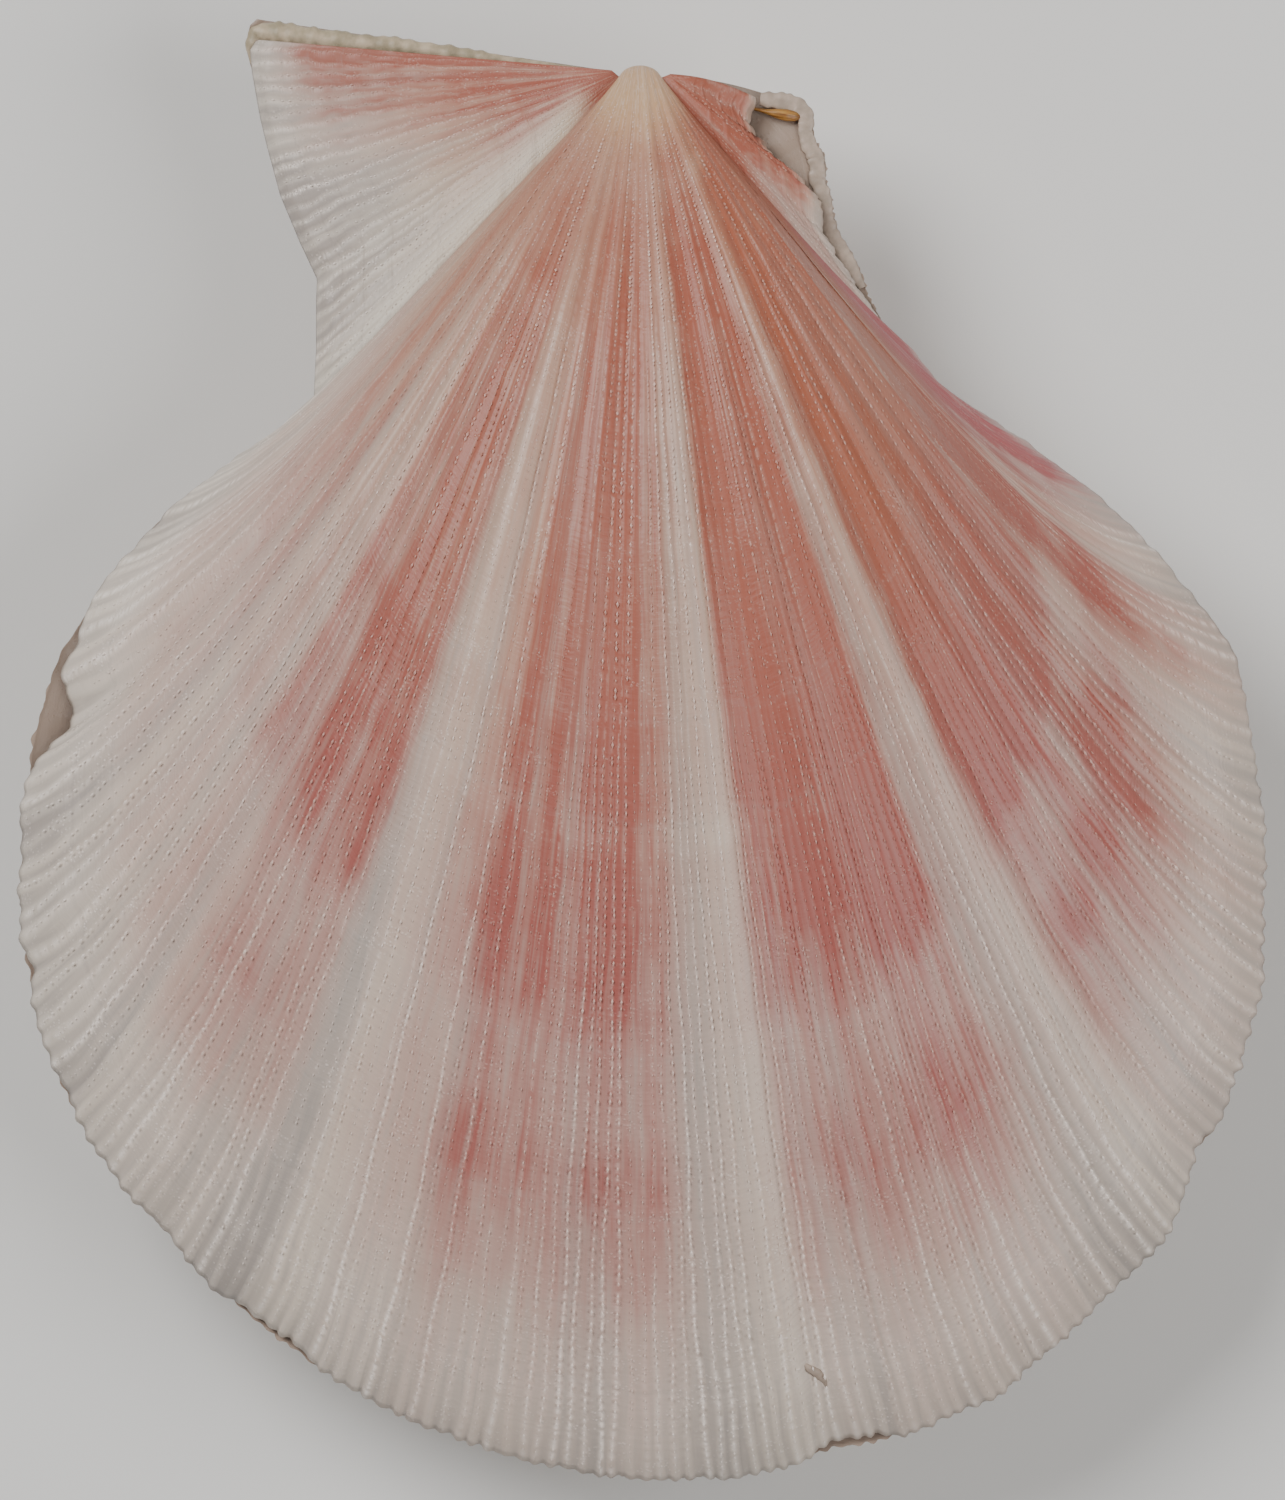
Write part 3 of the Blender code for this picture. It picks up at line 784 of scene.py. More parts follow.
def new_geometry_tree(name, inputs, outputs=(("Geometry", "NodeSocketGeometry"),)):
    tree = bpy.data.node_groups.new(name, "GeometryNodeTree")
    ids = {}
    for title, kind, value in inputs:
        socket = tree.interface.new_socket(name=title, in_out="INPUT", socket_type=kind)
        ids[title] = socket.identifier
        if value is not None:
            socket.default_value = value
    for title, kind in outputs:
        tree.interface.new_socket(name=title, in_out="OUTPUT", socket_type=kind)
    start = tree.nodes.new("NodeGroupInput")
    end = tree.nodes.new("NodeGroupOutput")
    ways = {title: Wire(tree, start.outputs[title]) for title, kind, value in inputs}
    return Bench(tree), ways, end, ids


print("wires ready")

# %% [markdown]
# ## How tall a riblet is
# This node group answers one question for any point of the shell: how high does the riblet
# stand here? Riblets come in four sets. Every eighth one starts at the beak, the ones halfway
# between them start later, then the next even ones, and the odd ones last. A riblet is a narrow
# ridge round a whole riblet number, and it narrows as its neighbours arrive. A seeded random
# value makes each one stronger or weaker than the next.

# %% Riblet height group
FLOAT, GEOMETRY = "NodeSocketFloat", "NodeSocketGeometry"
SEED, FINISH = ("Seed", "NodeSocketInt", 5), ("Finish", "NodeSocketMaterial", None)
RIBLET_SETS = ((8.0, 0.0, -0.1), (8.0, 4.0, -0.04), (4.0, 2.0, 0.08), (2.0, 1.0, 0.36))


def riblet_height_group():
    bench, ways, end, ids = new_geometry_tree(
        "riblet_height",
        [("Riblet", FLOAT, None), ("Growth", FLOAT, None), SEED],
        [("Height", FLOAT), ("Strength", FLOAT)])
    number, age = ways["Riblet"], ways["Growth"]
    width = 0.27 + age.smooth(0.6, 0.42, 0.0, 0.22) + age.smooth(0.28, 0.15, 0.0, 0.35)
    width = width + age.smooth(0.17, 0.08, 0.0, 0.7)
    height, strongest = 0.0, 0.0
    for period, offset, start in RIBLET_SETS:
        step = ((number - offset) / period).round()
        crest = step * period + offset
        luck = bench.node("FunctionNodeRandomValue", {"data_type": "FLOAT"},
                          {"Min": 0.3, "Max": 1.0, "ID": crest + 1000.0, "Seed": ways["Seed"]})
        begins = start + 0.08 * luck
        strength = luck * age.smooth(begins, begins + 0.1)
        ridge = ((number - crest) / width).bell(1.0)
        height = ridge * strength if height == 0.0 else (ridge * strength).most(height)
        near = (number - crest).abs().smooth(0.6, 0.5) * strength
        strongest = near if strongest == 0.0 else near.most(strongest)
    bench.plug(end.inputs["Height"], height * age.smooth(0.55, 0.96, 0.7, 2.05)
               * number.smooth(190.0, 199.0, 1.0, 0.45) * number.smooth(299.0, 300.0, 1.0, 0.55))
    bench.plug(end.inputs["Strength"], strongest)
    return bench.tree


riblet_height = riblet_height_group()
print("riblet group has", len(riblet_height.nodes), "nodes")

# %% [markdown]
# ## Raising the riblets
# The tree below moves each point of a smooth valve along its normal by the height of the riblet
# there, and adds the small dips where growth stopped for a while. It is a modifier with named
# sizes, so the same tree serves both valves and can be tuned without touching the mesh.

# %% Relief tree
PAUSES = (0.175, 0.245, 0.33, 0.46, 0.54, 0.69, 0.81, 0.88, 0.94)


def read(bench, name, kind="FLOAT"):
    return bench.node("GeometryNodeInputNamedAttribute", {"data_type": kind}, {"Name": name})


def riblet_at(bench, age, seed):
    return bench.node("GeometryNodeGroup", {"node_tree": riblet_height},
                      {"Riblet": read(bench, "riblet"), "Growth": age, "Seed": seed})


def shifted(bench, geometry, offset):
    return bench.node("GeometryNodeSetPosition", None, {"Geometry": geometry, "Offset": offset})


def finish_tree(bench, end, geometry, finish):
    done = bench.node("GeometryNodeSetMaterial", None, {"Geometry": geometry, "Material": finish})
    bench.plug(end.inputs["Geometry"], done)


def raise_riblets_tree():
    bench, ways, end, ids = new_geometry_tree(
        "raise_riblets",
        [("Geometry", GEOMETRY, None), ("Riblet Height", FLOAT, 0.00006),
         ("Pause Depth", FLOAT, 0.00005), SEED, FINISH])
    age = read(bench, "growth")
    group = riblet_at(bench, age, ways["Seed"])
    dip = 0.0
    for place in PAUSES:
        after = (age - place).smooth(0.0, 0.004) * (age - place).smooth(0.03, 0.004)
        dip = dip + after
    rise = group.out("Height") * ways["Riblet Height"] - dip * ways["Pause Depth"]
    offset = bench.scaled(bench.node("GeometryNodeInputNormal"), read(bench, "room") * rise)
    raised = shifted(bench, ways["Geometry"], offset)
    real = bench.node("GeometryNodeRealizeInstances", None, {"Geometry": raised})
    finish_tree(bench, end, real, ways["Finish"])
    return bench.tree, ids


raise_riblets, raise_ids = raise_riblets_tree()


def grown(name, source, tree, ids, **values):
    """Runs a geometry tree once and returns its result as a plain mesh object."""
    carrier = placed(name + "_source", source)
    worker = carrier.modifiers.new("grow", "NODES")
    worker.node_group = tree
    for title, value in values.items():
        worker[ids[title.replace("_", " ")]] = value
    bpy.context.view_layer.update()
    depsgraph = bpy.context.evaluated_depsgraph_get()
    mesh = bpy.data.meshes.new_from_object(carrier.evaluated_get(depsgraph))
    mesh.name = name
    bpy.data.objects.remove(carrier)
    return placed(name, mesh)


print("relief tree has", len(raise_riblets.nodes), "nodes")

# %% [markdown]
# ## The finish of the shell
# One material colours every shelly part. It reads the painted values, so the pattern follows
# growth instead of lying over the shell like a decal. Fresh margin is chalky white with a touch
# of green grey, the beak is cream, and the pigment runs from orange brown to cool red, and to
# magenta on the rear flank. Streaks, thin white threads on the crests and small bright grains
# break it up at the scale of a riblet. Painted light lightens the crests of the folds and cords,
# and painted shade greys their shaded sides and the grooves between riblets near the margin.

# %% Shell material
THREAD_SETS = ((8.0, 0.0, 1.0), (8.0, 4.0, 0.02), (4.0, 2.0, 0.14))
PALE_ARCS = (0.46, 0.535, 0.7, 0.815, 0.885, 0.94)
LATE_WHITE = (0.625, 0.517, 0.43)
EARLY_WHITE = (0.64, 0.47, 0.295)
BEAK_CREAM = (0.72, 0.525, 0.265)
GREEN_WHITE = (0.68, 0.63, 0.54)
COOL_RED = (0.33, 0.085, 0.07)
ORANGE_BROWN = (0.335, 0.092, 0.045)
THREAD = (0.86, 0.79, 0.72)
RED_THREAD = (0.72, 0.42, 0.33)
LIT_CREST_CREAM = (0.7, 0.605, 0.49)
MAGENTA = (0.37, 0.075, 0.088)
SHADE_AND_STREAK_GREY = (0.36, 0.31, 0.275)
PORCELAIN = (0.34, 0.25, 0.195)


def painted(bench, name):
    return bench.node("ShaderNodeAttribute", {"attribute_name": name}).out("Fac")


def noise(bench, place, scale, detail=2.0):
    return bench.node("ShaderNodeTexNoise", None,
                      {"Vector": place, "Scale": scale, "Detail": detail}).out("Fac")


def chance(bench, value):
    return bench.node("ShaderNodeTexWhiteNoise", {"noise_dimensions": "1D"},
                      {"W": value}).out("Value")


def growth_noise(bench, number, age, seed, detail):
    return noise(bench, bench.vector(number, age, seed), 1.0, detail)


def new_finish(name):
    material = bpy.data.materials.new(name)
    material.use_nodes = True
    bench = Bench(material.node_tree)
    shader = material.node_tree.nodes["Principled BSDF"]
    return material, bench, shader, bench.node("ShaderNodeTexCoord").out("Object")


def coat(bench, shader, colour, rough, strength, distance, height):
    bench.plug(shader.inputs["Base Color"], colour)
    bench.plug(shader.inputs["Roughness"], rough)
    bump = bench.node("ShaderNodeBump", None,
                      {"Strength": strength, "Distance": distance, "Height": height})
    bench.plug(shader.inputs["Normal"], bump)


def shell_material(name, red=1.0, bead=0.0):
    material, bench, shader, place = new_finish(name)
    number, age = painted(bench, "riblet"), painted(bench, "growth")
    chalk, cream = painted(bench, "chalk"), painted(bench, "cream")
    warm, inner = painted(bench, "warm"), painted(bench, "inside")
    crown, shade = painted(bench, "crown"), painted(bench, "shade")

    crest = number.round()
    luck = chance(bench, crest)
    streak = growth_noise(bench, number * 0.9, age * 7.0, 0.0, 3.0)
    patch = growth_noise(bench, number * 0.25, age * 22.0, 4.0, 2.0)
    fibre = growth_noise(bench, number * 2.6, age * 16.0, 5.0, 2.0)
    sweep = growth_noise(bench, number * 0.32, age * 1.7, 9.0, 2.0)
    grown_up = age.smooth(0.08, 0.3)
    uneven = 0.5 * streak + 0.58 * sweep + 0.5 * fibre - 0.8
    ink = painted(bench, "pigment") * (1.0 + uneven * grown_up) * (0.8 + 0.36 * patch)
    ink = (ink * red).clamp()

    white = bench.mix(warm.most(cream), LATE_WHITE, EARLY_WHITE)
    white = bench.mix(chalk, white, GREEN_WHITE)
    # Painted light: fold crests, cords and the ear band beside the disc are mixed towards a lit cream.
    white = bench.mix(crown * 0.6, bench.mix(cream, white, BEAK_CREAM), LIT_CREST_CREAM)
    red_side = bench.mix(warm, bench.mix(warm * -1.0, COOL_RED, MAGENTA), ORANGE_BROWN)
    colour = bench.mix(ink, white, red_side)
    # Painted shade on the shaded sides of the folds and cords, and broad painted fold shade mixed with
    # random streaks, fibres and pause lines.
    shade_and_streaks = shade * (0.42 + 0.24 * patch) + sweep.smooth(0.5, 0.3) * grown_up * 0.42
    shade_and_streaks = shade_and_streaks + fibre.smooth(0.5, 0.3) * 0.22
    for pause in PALE_ARCS:
        shade_and_streaks = shade_and_streaks + ((age - pause + 0.006 * luck) / 0.0022).bell(1.0) * patch * 0.3
    # Painted shade in the grooves between riblets near the margin.
    between = (number - crest).abs().smooth(0.16, 0.42)
    shade_and_streaks = shade_and_streaks + between * age.smooth(0.86, 0.97, 0.06, 0.34)
    shy = 1.0 - 0.6 * ink
    colour = bench.mix((shade_and_streaks * shy).clamp(), colour, SHADE_AND_STREAK_GREY)

    dash = growth_noise(bench, (number / 2.0).round() * 5.0, age * 150.0, 0.0, 2.0)
    line = (number - crest).bell(0.17) * age.smooth(0.3, 0.5)
    for period, shift, end in THREAD_SETS:
        near = (number - shift) / period
        ridge = ((near - near.round()) * period * age * 8.0).bell(1.0)
        ridge = ridge * (1.0 if end == 1.0 else age.smooth(end, end + 0.08))
        line = line.most(ridge * age.smooth(0.55, 0.35))
    calm = shy * number.smooth(150.0, 160.0, 1.0, 0.75)
    line = line * (0.1 + 1.1 * luck * luck) * dash.smooth(0.35, 0.6)
    line = line * age.smooth(0.8, 0.95, 1.0, 1.5)
    grain = bench.node("ShaderNodeTexVoronoi", None,
                       {"Vector": place, "Scale": 5200.0}).out("Distance")
    speck = grain.smooth(0.42, 0.12) * noise(bench, place, 900.0).smooth(0.45, 0.7)
    pale = bench.mix(ink * 0.8, THREAD, RED_THREAD)
    fine = ((line * 0.7 + speck * 0.45 + bead * (0.5 + 0.75 * luck)) * calm).clamp()
    colour = bench.mix(inner, bench.mix(fine, colour, pale), PORCELAIN)
    scale = growth_noise(bench, number * 0.35, age * 330.0, 0.0, 1.0)
    height = line * 0.7 + speck * 0.5 + scale * 0.55 * (1.0 - inner)
    rough = 0.45 - 0.14 * speck - 0.1 * inner - 0.18 * bead
    coat(bench, shader, colour, rough, 0.6, 0.00005, height)
    return material


shell_finish = shell_material("speckled_shell")
bead_finish = shell_material("pale_beads", bead=0.8)
print("shell finish has", len(shell_finish.node_tree.nodes), "nodes")

# %% [markdown]
# ## Points along the crests
# The crests carry rows of small scales, one for each short spell of growth. Their places are
# taken from the valve's own grid: for every crest the line through the grid is followed, and
# points are set off along it with a little jitter. Each point keeps the painted values of the
# shell under it, so a scale has the colour of its place.

# %% Crest points


def crest_points(skin, rows, first, crests, spacing, start, dice):
    xyz = skin.xyz()
    paint = np.column_stack([np.concatenate(skin.paint[name]) for name in PAINTS])
    age = np.array([ROWS[r][0] for r in range(len(rows))])
    made = []
    for crest in crests:
        line, side, values = [], [], []
        for r, row in enumerate(rows):
            u, stride = ROWS[r]
            at = (crest + float(wander(crest, u)) - first) * PER_RIBLET / stride
            at = min(max(at, 0.01), len(row) - 1.01)
            k, f = int(at), at - int(at)
            line.append(xyz[row[k]] * (1 - f) + xyz[row[k + 1]] * f)
            values.append(paint[row[k]] * (1 - f) + paint[row[k + 1]] * f)
            reach = PER_RIBLET // stride
            left, right = max(0, k - reach), min(len(row) - 1, k + 1 + reach)
            side.append(xyz[row[right]] - xyz[row[left]])
        line, side, values = np.array(line), np.array(side), np.array(values)
        values[:, PAINTS.index("riblet")] = crest
        along, way = np.gradient(line, axis=0), way_along(line)
        close = spacing * (0.55 + 0.45 * smooth(0.08, 0.45, age))
        steps = np.diff(way) * 2 / (close[1:] + close[:-1])
        count = np.concatenate([[0], np.cumsum(steps)])
        n = int(count[-1])
        at = np.interp(np.arange(n) + dice.uniform(0.22, 0.78, n), count, way)
        at = at[(np.interp(at, way, age) > start) & (at < way[-1] - 0.15)]
        line, side, along, values = (read_along(at, way, t) for t in (line, side, along, values))
        up = np.cross(side, along)
        up = up * np.where(up[:, 2:] < 0, -1, 1)
        made.append(np.column_stack([line, up, along, values]))
    return np.concatenate(made)


def point_cloud(name, made, flip=False):
    sign = np.array([1, 1, -1.0 if flip else 1.0])
    mesh = bpy.data.meshes.new(name)
    mesh.from_pydata(((made[:, :3] * sign - SPOT) * MM).tolist(), [], [])
    for title, block in (("up", made[:, 3:6]), ("along", made[:, 6:9])):
        layer_on(mesh, title, block * sign, "FLOAT_VECTOR", "vector")
    for k, paint in enumerate(PAINTS):
        layer_on(mesh, paint, made[:, 9 + k])
    return mesh


dice = np.random.default_rng(7)
print("crest tools ready")

# %% [markdown]
# ## Setting the scales
# This tree puts a low bead with eight faces on every point, turned along the crest and half sunk
# in the shell. It asks the riblet group how strong the crest is at that place, so that scales
# are large on strong riblets, small on weak ones and missing where a riblet hasn't started.

# %% Scales tree


def set_scales_tree():
    bench, ways, end, ids = new_geometry_tree(
        "set_scales",
        [("Geometry", GEOMETRY, None), ("Length", FLOAT, 0.00025), ("Width", FLOAT, 0.0001),
         ("Height", FLOAT, 0.000045), ("Riblet Height", FLOAT, 0.00006),
         ("Least Strength", FLOAT, 0.2), SEED, FINISH])
    age, room = read(bench, "growth"), read(bench, "room")
    group = riblet_at(bench, age, ways["Seed"])
    strength = group.out("Strength")
    up = bench.node("ShaderNodeVectorMath", {"operation": "NORMALIZE"},
                    {0: read(bench, "up", "FLOAT_VECTOR")})
    lift = bench.scaled(up, room * group.out("Height") * ways["Riblet Height"])
    raised = shifted(bench, ways["Geometry"], lift)
    weak = bench.node("FunctionNodeCompare", {"operation": "LESS_THAN"},
                      {"A": strength * room, "B": ways["Least Strength"]})
    kept = bench.node("GeometryNodeDeleteGeometry", {"domain": "POINT"},
                      {"Geometry": raised, "Selection": weak})
    bead = bench.node("GeometryNodeMeshUVSphere", None,
                      {"Segments": 4, "Rings": 2, "Radius": 0.5})
    turn = bench.node("FunctionNodeAxesToRotation",
                      {"primary_axis": "Z", "secondary_axis": "X"},
                      {"Primary Axis": up, "Secondary Axis": read(bench, "along", "FLOAT_VECTOR")})
    luck = bench.node("FunctionNodeRandomValue", {"data_type": "FLOAT"},
                      {"Min": 0.6, "Max": 1.2, "Seed": ways["Seed"]})
    size = (0.45 + 0.65 * strength) * luck * (0.4 + 0.6 * room) * age.smooth(0.05, 0.5, 0.6, 1.0)
    wide = size * age.smooth(0.1, 0.45, 2.0, 1.0)
    scale = bench.vector(ways["Length"] * size, ways["Width"] * wide, ways["Height"] * size)
    set_on = bench.node("GeometryNodeInstanceOnPoints", None,
                        {"Points": kept, "Instance": bead.out("Mesh"), "Rotation": turn,
                         "Scale": scale})
    real = bench.node("GeometryNodeRealizeInstances", None, {"Geometry": set_on})
    flat_faces = bench.node("GeometryNodeSetShadeSmooth", None,
                            {"Geometry": real, "Shade Smooth": False})
    finish_tree(bench, end, flat_faces, ways["Finish"])
    return bench.tree, ids


set_scales, scale_ids = set_scales_tree()
print("scales tree has", len(set_scales.nodes), "nodes")

# %% [markdown]
# ## The upper valve
# Everything so far comes together: the smooth skin, the relief tree and the finish.

# %% Make the upper valve


def triangles_of(piece):
    return sum(len(p.vertices) - 2 for p in piece.data.polygons)


def settle(piece, node):
    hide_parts(node)
    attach(piece, "root")
    print(piece.name, "has", triangles_of(piece), "triangles")


upper_valve = grown("upper_valve_shell", finished_mesh("upper", upper_skin), raise_riblets,
                    raise_ids, Riblet_Height=0.00006, Pause_Depth=0.00005, Finish=shell_finish)
settle(upper_valve, "upper_valve")

# %% [markdown]
# ## Scales of the upper valve
# The scales of the disc stand wider apart than those of the ears, because they are longer. Disc
# and ears are two pieces of mesh, so that each stays light.

# %% Scales of the upper valve
disc_points = crest_points(upper_skin, upper_disc, 0, range(1, RIBLETS), 0.42, 0.02, dice)
FRONT_CRESTS = range(FRONT_RIBLET + 1, FRONT_RIBLET + 27)
REAR_CRESTS = range(REAR_RIBLET + 1, REAR_RIBLET + 12)
ear_points = np.concatenate([
    crest_points(upper_skin, upper_fore, FRONT_RIBLET, FRONT_CRESTS, 0.36, 0.1, dice),
    crest_points(upper_skin, upper_aft, REAR_RIBLET, REAR_CRESTS, 0.28, 0.1, dice)])
upper_scales = grown("upper_valve_scales", point_cloud("disc_points", disc_points), set_scales,
                     scale_ids, Finish=bead_finish, Riblet_Height=0.00006)
settle(upper_scales, "upper_valve")
ear_scales = grown("upper_ear_scales", point_cloud("ear_points", ear_points), set_scales,
                   scale_ids, Finish=bead_finish, Riblet_Height=0.00006, Seed=6,
                   Length=0.00015, Width=0.00007, Height=0.00002)
settle(ear_scales, "upper_valve")

# %% [markdown]
# ## The lower valve
# The lower valve is made in the same way, upside down. It is a little smaller at the margin and
# paler, its front ear is cut away next to the disc by the notch where the animal's threads came
# out, and its deepest part is worn to a small flat spot on which the shell rests.

# %% Make the lower valve
NOTCH_AGE = 0.53
pale_finish = shell_material("pale_speckled_shell", red=0.42)
lower_skin, lower_disc, lower_fore, lower_aft = valve_skin(
    LOWER_BULGE, LOWER_CREST, LOWER_FRONT, LOWER_REAR, NOTCH_AGE, False)
lower_valve = grown("lower_valve_shell", finished_mesh("lower", lower_skin, flip=True),
                    raise_riblets, raise_ids, Riblet_Height=0.00006, Pause_Depth=0.00004,
                    Finish=pale_finish)
for vertex in lower_valve.data.vertices:
    vertex.co.z = max(vertex.co.z, 0.0)
settle(lower_valve, "lower_valve")

# %% [markdown]
# ## Scales of the lower valve
# The underside was rubbed on sand and has fewer scales. None are set near the flat spot, where
# they would stick through the floor.

# %% Scales of the lower valve
CLEAR_OF_FLOOR = 0.12
under_points = np.concatenate([
    crest_points(lower_skin, lower_disc, 0, range(2, RIBLETS, 2), 0.6, 0.1, dice),
    crest_points(lower_skin, lower_fore, FRONT_RIBLET, FRONT_CRESTS, 0.5, 0.1, dice),
    crest_points(lower_skin, lower_aft, REAR_RIBLET, REAR_CRESTS, 0.5, 0.1, dice)])
under_points = under_points[under_points[:, 2] < -SPOT[2] - CLEAR_OF_FLOOR]
lower_scales = grown("lower_valve_scales", point_cloud("under_points", under_points, True),
                     set_scales, scale_ids, Finish=pale_finish, Seed=7)
settle(lower_scales, "lower_valve")

# %% [markdown]
# ## Rounded rims and knobs
# Along the hinge the lower valve stands out from under the front ear as a knobbly cream roll,
# and the broken rear ear shows the raised rim of the lower one. Both are rods: rings of points
# set along a line, thicker and thinner by turns where the shell grew in small steps. The
# ligament is a rod too, a flat one, with an almond-shaped end where it lies bare.

# %% Rod


def height_near(piece, x, y):
    spots = np.array([v.co for v in piece.data.vertices]) / MM + SPOT
    spots = spots[spots[:, 2] > 0.5]
    nearest = np.argsort(np.hypot(spots[:, 0] - x, spots[:, 1] - y))[:4]
    return float(spots[nearest, 2].max())


def rod(name, finish, stations, knobs=0.0, every=0.5, seed=3, sides=12, steps=160):
    """Each station holds x, y, z, the width and the thickness of the rod there."""
    stations = np.array(stations)
    way = way_along(stations[:, :3])
    at = np.linspace(0, way[-1], steps)
    there = read_along(at, way, stations)
    spine, width, thick = there[:, :3], there[:, 3:4], there[:, 4:5]
    lucky = np.random.default_rng(seed)
    places = np.cumsum(lucky.uniform(0.6, 1.4, int(way[-1] / every) + 2)) * every
    sizes = lucky.uniform(0.3, 1.0, len(places))
    knob = sum(size * bell(at, place, 0.36 * every) for place, size in zip(places, sizes))
    turn = np.linspace(0, 2 * np.pi, sides, endpoint=False)
    along = np.gradient(spine, axis=0)
    across_line = np.column_stack([along[:, 1], -along[:, 0], 0 * at])
    across_line /= np.linalg.norm(across_line, axis=1)[:, None]
    swell = 0.5 * (1 - knobs + knobs * knob)[:, None]
    sideways = (width * swell * np.cos(turn))[..., None] * across_line[:, None]
    upward = (thick * swell * np.sin(turn))[..., None] * np.array([0, 0, 1])
    points = (spine[:, None] + sideways + upward).reshape(-1, 3)
    ring = np.arange(steps * sides).reshape(steps, sides)
    ahead = np.roll(ring, -1, axis=1)
    walls = np.stack([ring[:-1], ahead[:-1], ahead[1:], ring[1:]], -1).reshape(-1, 4)
    faces = walls.tolist() + [ring[0].tolist(), ring[-1][::-1].tolist()]
    mesh = closed_mesh(name, points, faces)
    layer_on(mesh, "way", np.repeat(at, sides))
    mesh.materials.append(finish)
    return placed(name, mesh)


print("rod ready")

# %% [markdown]
# ## Finish of the rims
# Old shell that was never covered by riblets looks like wax: cloudy cream with a green stain
# here and there. Two colours mixed by a soft noise, with a fine grain in the bump, give that.

# %% Finish of the rims
def rim_material(name, low, high, green, glossy):
    material, bench, shader, place = new_finish(name)
    cloud = noise(bench, place, 1400.0, 3.0)
    stain = noise(bench, place, 420.0, 2.0).smooth(0.5, 0.68)
    grain = noise(bench, place, 7000.0, 2.0)
    colour = bench.mix(cloud.smooth(0.35, 0.65), low, high)
    colour = bench.mix(stain * 0.5, colour, green)
    coat(bench, shader, colour, glossy + 0.15 * cloud, 0.7, 0.00008, cloud * 0.8 + grain * 0.3)
    return material


roll_finish = rim_material("knobbly_cream", (0.32, 0.26, 0.17), (0.5, 0.4, 0.28),
                           (0.25, 0.225, 0.14), 0.42)
rim_finish = rim_material("porcelain_rim", (0.33, 0.26, 0.205), (0.45, 0.35, 0.28),
                          (0.28, 0.21, 0.165), 0.35)

# %% [markdown]
# ## The hinge roll and the rim of the rear ear
# Both lines are read off the outline, point by point, with the width of the rod at each point.
# They belong to the lower valve, so they ride with it and share its slot.

# %% Roll and rims of the lower valve
ROLL_HEIGHT, ROLL_ROUND = -0.14, 0.8
ROLL = [  # x, y, width
    (-17.08, 0.9, 0.3), (-17.14, 1.55, 0.6), (-16.95, 2.22, 1.0), (-16.3, 2.26, 1.18),
    (-15.0, 2.08, 1.2), (-13.4, 1.87, 1.15), (-12.0, 1.77, 1.05), (-10.1, 1.58, 0.95),
    (-8.1, 1.33, 0.82), (-5.6, 0.98, 0.5), (-4.0, 0.82, 0.34), (-2.6, 0.68, 0.16),
]
RIM_HEIGHT, RIM_ROUND = -0.09, 0.26
RIM = [  # x, y, width
    (5.3, -0.66, 0.75), (6.2, -0.76, 0.95), (6.9, -0.95, 1.0), (7.28, -1.32, 0.94),
    (7.34, -1.7, 0.84), (7.28, -2.1, 0.8), (7.46, -2.75, 0.84), (7.74, -3.2, 0.84),
    (7.84, -3.8, 0.84), (7.8, -4.2, 0.8), (8.12, -5.1, 0.84), (8.18, -5.9, 0.86),
    (8.38, -6.5, 0.86), (9.2, -7.9, 0.8), (9.8, -9.0, 0.4),
]
roll = rod("hinge_roll", roll_finish, [(x, y, ROLL_HEIGHT, w, ROLL_ROUND * w) for x, y, w in ROLL],
           knobs=0.3, every=0.66, seed=5, steps=280)
settle(roll, "lower_valve")
rim = rod("rear_ear_rim", rim_finish, [(x, y, RIM_HEIGHT, w, RIM_ROUND * w) for x, y, w in RIM],
          knobs=0.25, every=0.4, seed=8, steps=220)
settle(rim, "lower_valve")

# %% [markdown]
# ## A sliver at an old nick
# Near the lower margin a sliver of shell stands up beside a nick. It is a short flat rod, laid
# on the valve at the height of the nearest points of its mesh.

# %% Splinter
SLIVER = [  # x, y, width, thickness
    (7.2, -56.35, 0.08, 0.05), (7.45, -56.6, 0.34, 0.14), (7.8, -56.8, 0.42, 0.2),
    (8.1, -57.15, 0.3, 0.14), (8.3, -57.6, 0.06, 0.04),
]
ABOVE = 0.02
sliver = rod("margin_sliver", rim_finish,
             [(x, y, height_near(upper_valve, x, y) + ABOVE, w, t) for x, y, w, t in SLIVER],
             sides=8, steps=24)
settle(sliver, "upper_valve")

# %% [markdown]
# ## The ligament
# The ligament is the springy brown strip that pushed the valves open. It runs along the hinge
# between them and shows only at its rear end, as a small amber almond with fine fibres along
# it. Horn lets a little light in, so it gets some scattering under the surface.

# %% Ligament
LIGAMENT = [  # x, y, width, thickness
    (-15.0, 1.35, 0.15, 0.12), (-12.0, 1.1, 0.25, 0.24), (-9.0, 0.86, 0.3, 0.28),
    (-6.0, 0.62, 0.3, 0.28), (-3.0, 0.36, 0.3, 0.28), (-1.2, 0.08, 0.4, 0.28),
    (0.6, -0.22, 0.5, 0.28), (2.4, -0.42, 0.5, 0.28), (4.0, -0.78, 0.36, 0.26),
    (4.9, -1.05, 0.16, 0.22), (5.5, -1.2, 0.2, 0.3), (6.0, -1.3, 0.42, 0.4),
    (6.45, -1.38, 0.54, 0.42), (6.85, -1.43, 0.44, 0.3), (7.17, -1.46, 0.05, 0.05),
]
LIGAMENT_FOOT = -0.14
DARK_HORN, LIGHT_HORN, HORN_TIP = (0.16, 0.062, 0.012), (0.44, 0.225, 0.055), (0.09, 0.035, 0.012)


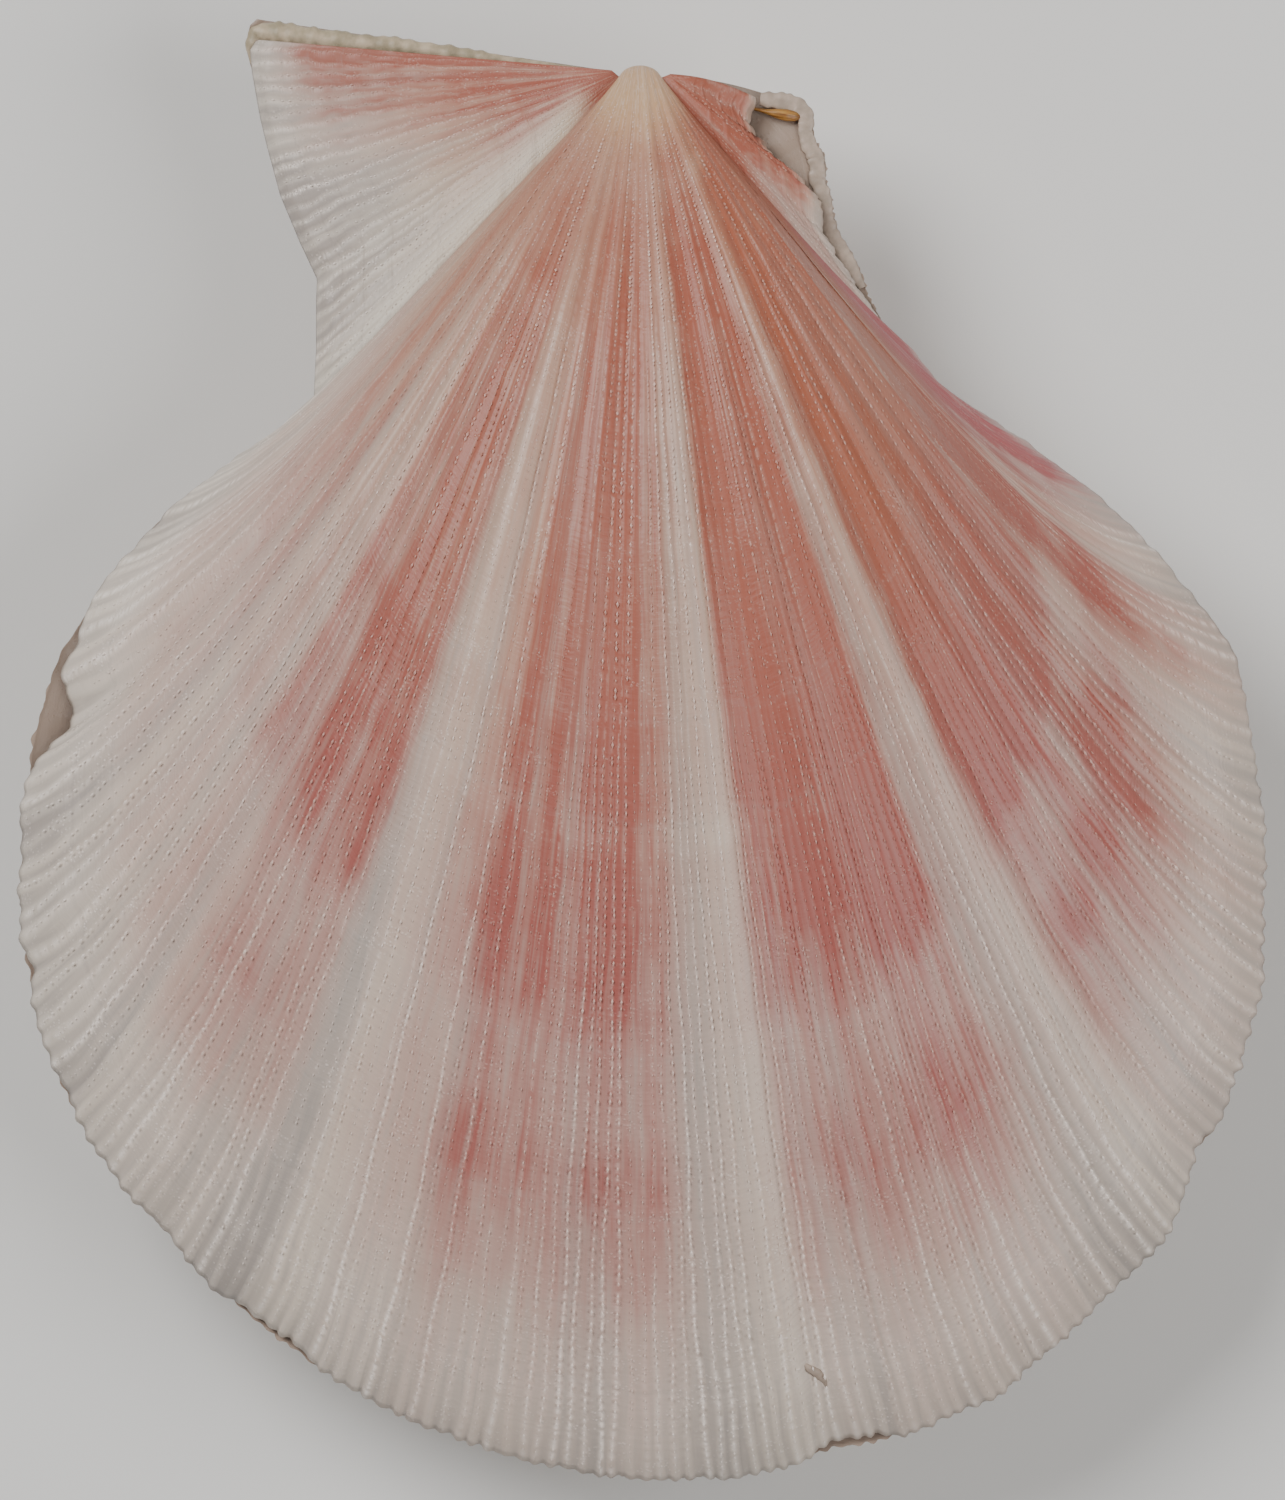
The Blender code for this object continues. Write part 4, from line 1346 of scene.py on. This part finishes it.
def horn_material():
    material, bench, shader, place = new_finish("amber_horn")
    split = bench.node("ShaderNodeSeparateXYZ", None, {"Vector": place})
    lean = split.out("Y") + split.out("X") * 0.2
    fibre = noise(bench, bench.vector(split.out("X") * 900.0, lean * 16000.0), 1.0, 3.0)
    dark_end = painted(bench, "way").smooth(22.0, 22.45)
    amber = bench.mix(fibre.smooth(0.3, 0.7), DARK_HORN, LIGHT_HORN)
    amber = bench.mix(dark_end * 0.6, amber, HORN_TIP)
    coat(bench, shader, amber, 0.28 + 0.2 * fibre, 0.5, 0.00004, fibre)
    shader.inputs["Subsurface Weight"].default_value = 0.25
    shader.inputs["Subsurface Scale"].default_value = 0.0002
    return material


ligament = rod("ligament_strip", horn_material(),
               [(x, y, LIGAMENT_FOOT + 0.5 * t, w, t) for x, y, w, t in LIGAMENT],
               sides=20, steps=220)
settle(ligament, "ligament")

# %% [markdown]
# ## Floor, light and camera
# The shell lies on a plain pale floor. One large soft light stands to the upper left, as the
# shading of the folds shows, with a weak one opposite. The camera looks straight down through a
# long lens, so that the outline hardly changes with height.

# %% Floor
floor_mesh = bpy.data.meshes.new("floor")
floor_mesh.from_pydata([(-3, -3, 0), (3, -3, 0), (3, 3, 0), (-3, 3, 0)], [], [(0, 1, 2, 3)])
paper = bpy.data.materials.new("pale_paper")
paper.use_nodes = True
paper_shader = paper.node_tree.nodes["Principled BSDF"]
paper_shader.inputs["Base Color"].default_value = (0.72, 0.71, 0.69, 1)
paper_shader.inputs["Roughness"].default_value = 0.9
floor_mesh.materials.append(paper)
floor = placed("floor", floor_mesh)

# %% [markdown]
# ## Two soft lights
# Soft round lamps give the low shading of the folds without hard shadows. The room light is
# weak, so that the ribs keep their relief.

# %% Lights


def soft_light(name, place, size, power):
    light = bpy.data.lights.new(name, "AREA")
    light.shape, light.size, light.energy = "DISK", size, power
    lamp = placed(name, light)
    lamp.location = place
    aim = Vector((0, 0, 0.01)) - Vector(place)
    lamp.rotation_euler = aim.to_track_quat("-Z", "Y").to_euler()


soft_light("key", (-0.36, 0.32, 0.55), 0.4, 4.85)
soft_light("fill", (0.45, -0.1, 0.5), 0.5, 2.75)
world = bpy.data.worlds.new("room")
world.use_nodes = True
room_light = world.node_tree.nodes["Background"]
room_light.inputs["Color"].default_value = (1, 1, 1, 1)
room_light.inputs["Strength"].default_value = 0.25
bpy.context.scene.world = world

# %% [markdown]
# ## The camera
# One picture point is a twenty-third of a millimetre at the height of the seam. The lens follows
# from that and from the distance.

# %% Camera
PIXEL = 1 / 22.67
PICTURE_WIDTH, PICTURE_HEIGHT = 1285, 1500
BEAK_COLUMN, BEAK_ROW = 640, 84
DISTANCE, SENSOR = 1.2, 36
aim_x = (PICTURE_WIDTH / 2 - BEAK_COLUMN) * PIXEL - SPOT[0]
aim_y = (BEAK_ROW - PICTURE_HEIGHT / 2) * PIXEL - SPOT[1]
lens = bpy.data.cameras.new("camera")
lens.sensor_width = SENSOR
lens.lens = SENSOR * DISTANCE / (PICTURE_HEIGHT * PIXEL * MM)
lens.clip_start, lens.clip_end = 0.05, 20
camera = placed("camera", lens)
camera.location = (aim_x * MM, aim_y * MM, DISTANCE - SPOT[2] * MM)
bpy.context.scene.camera = camera
print("lens", round(lens.lens), "mm")
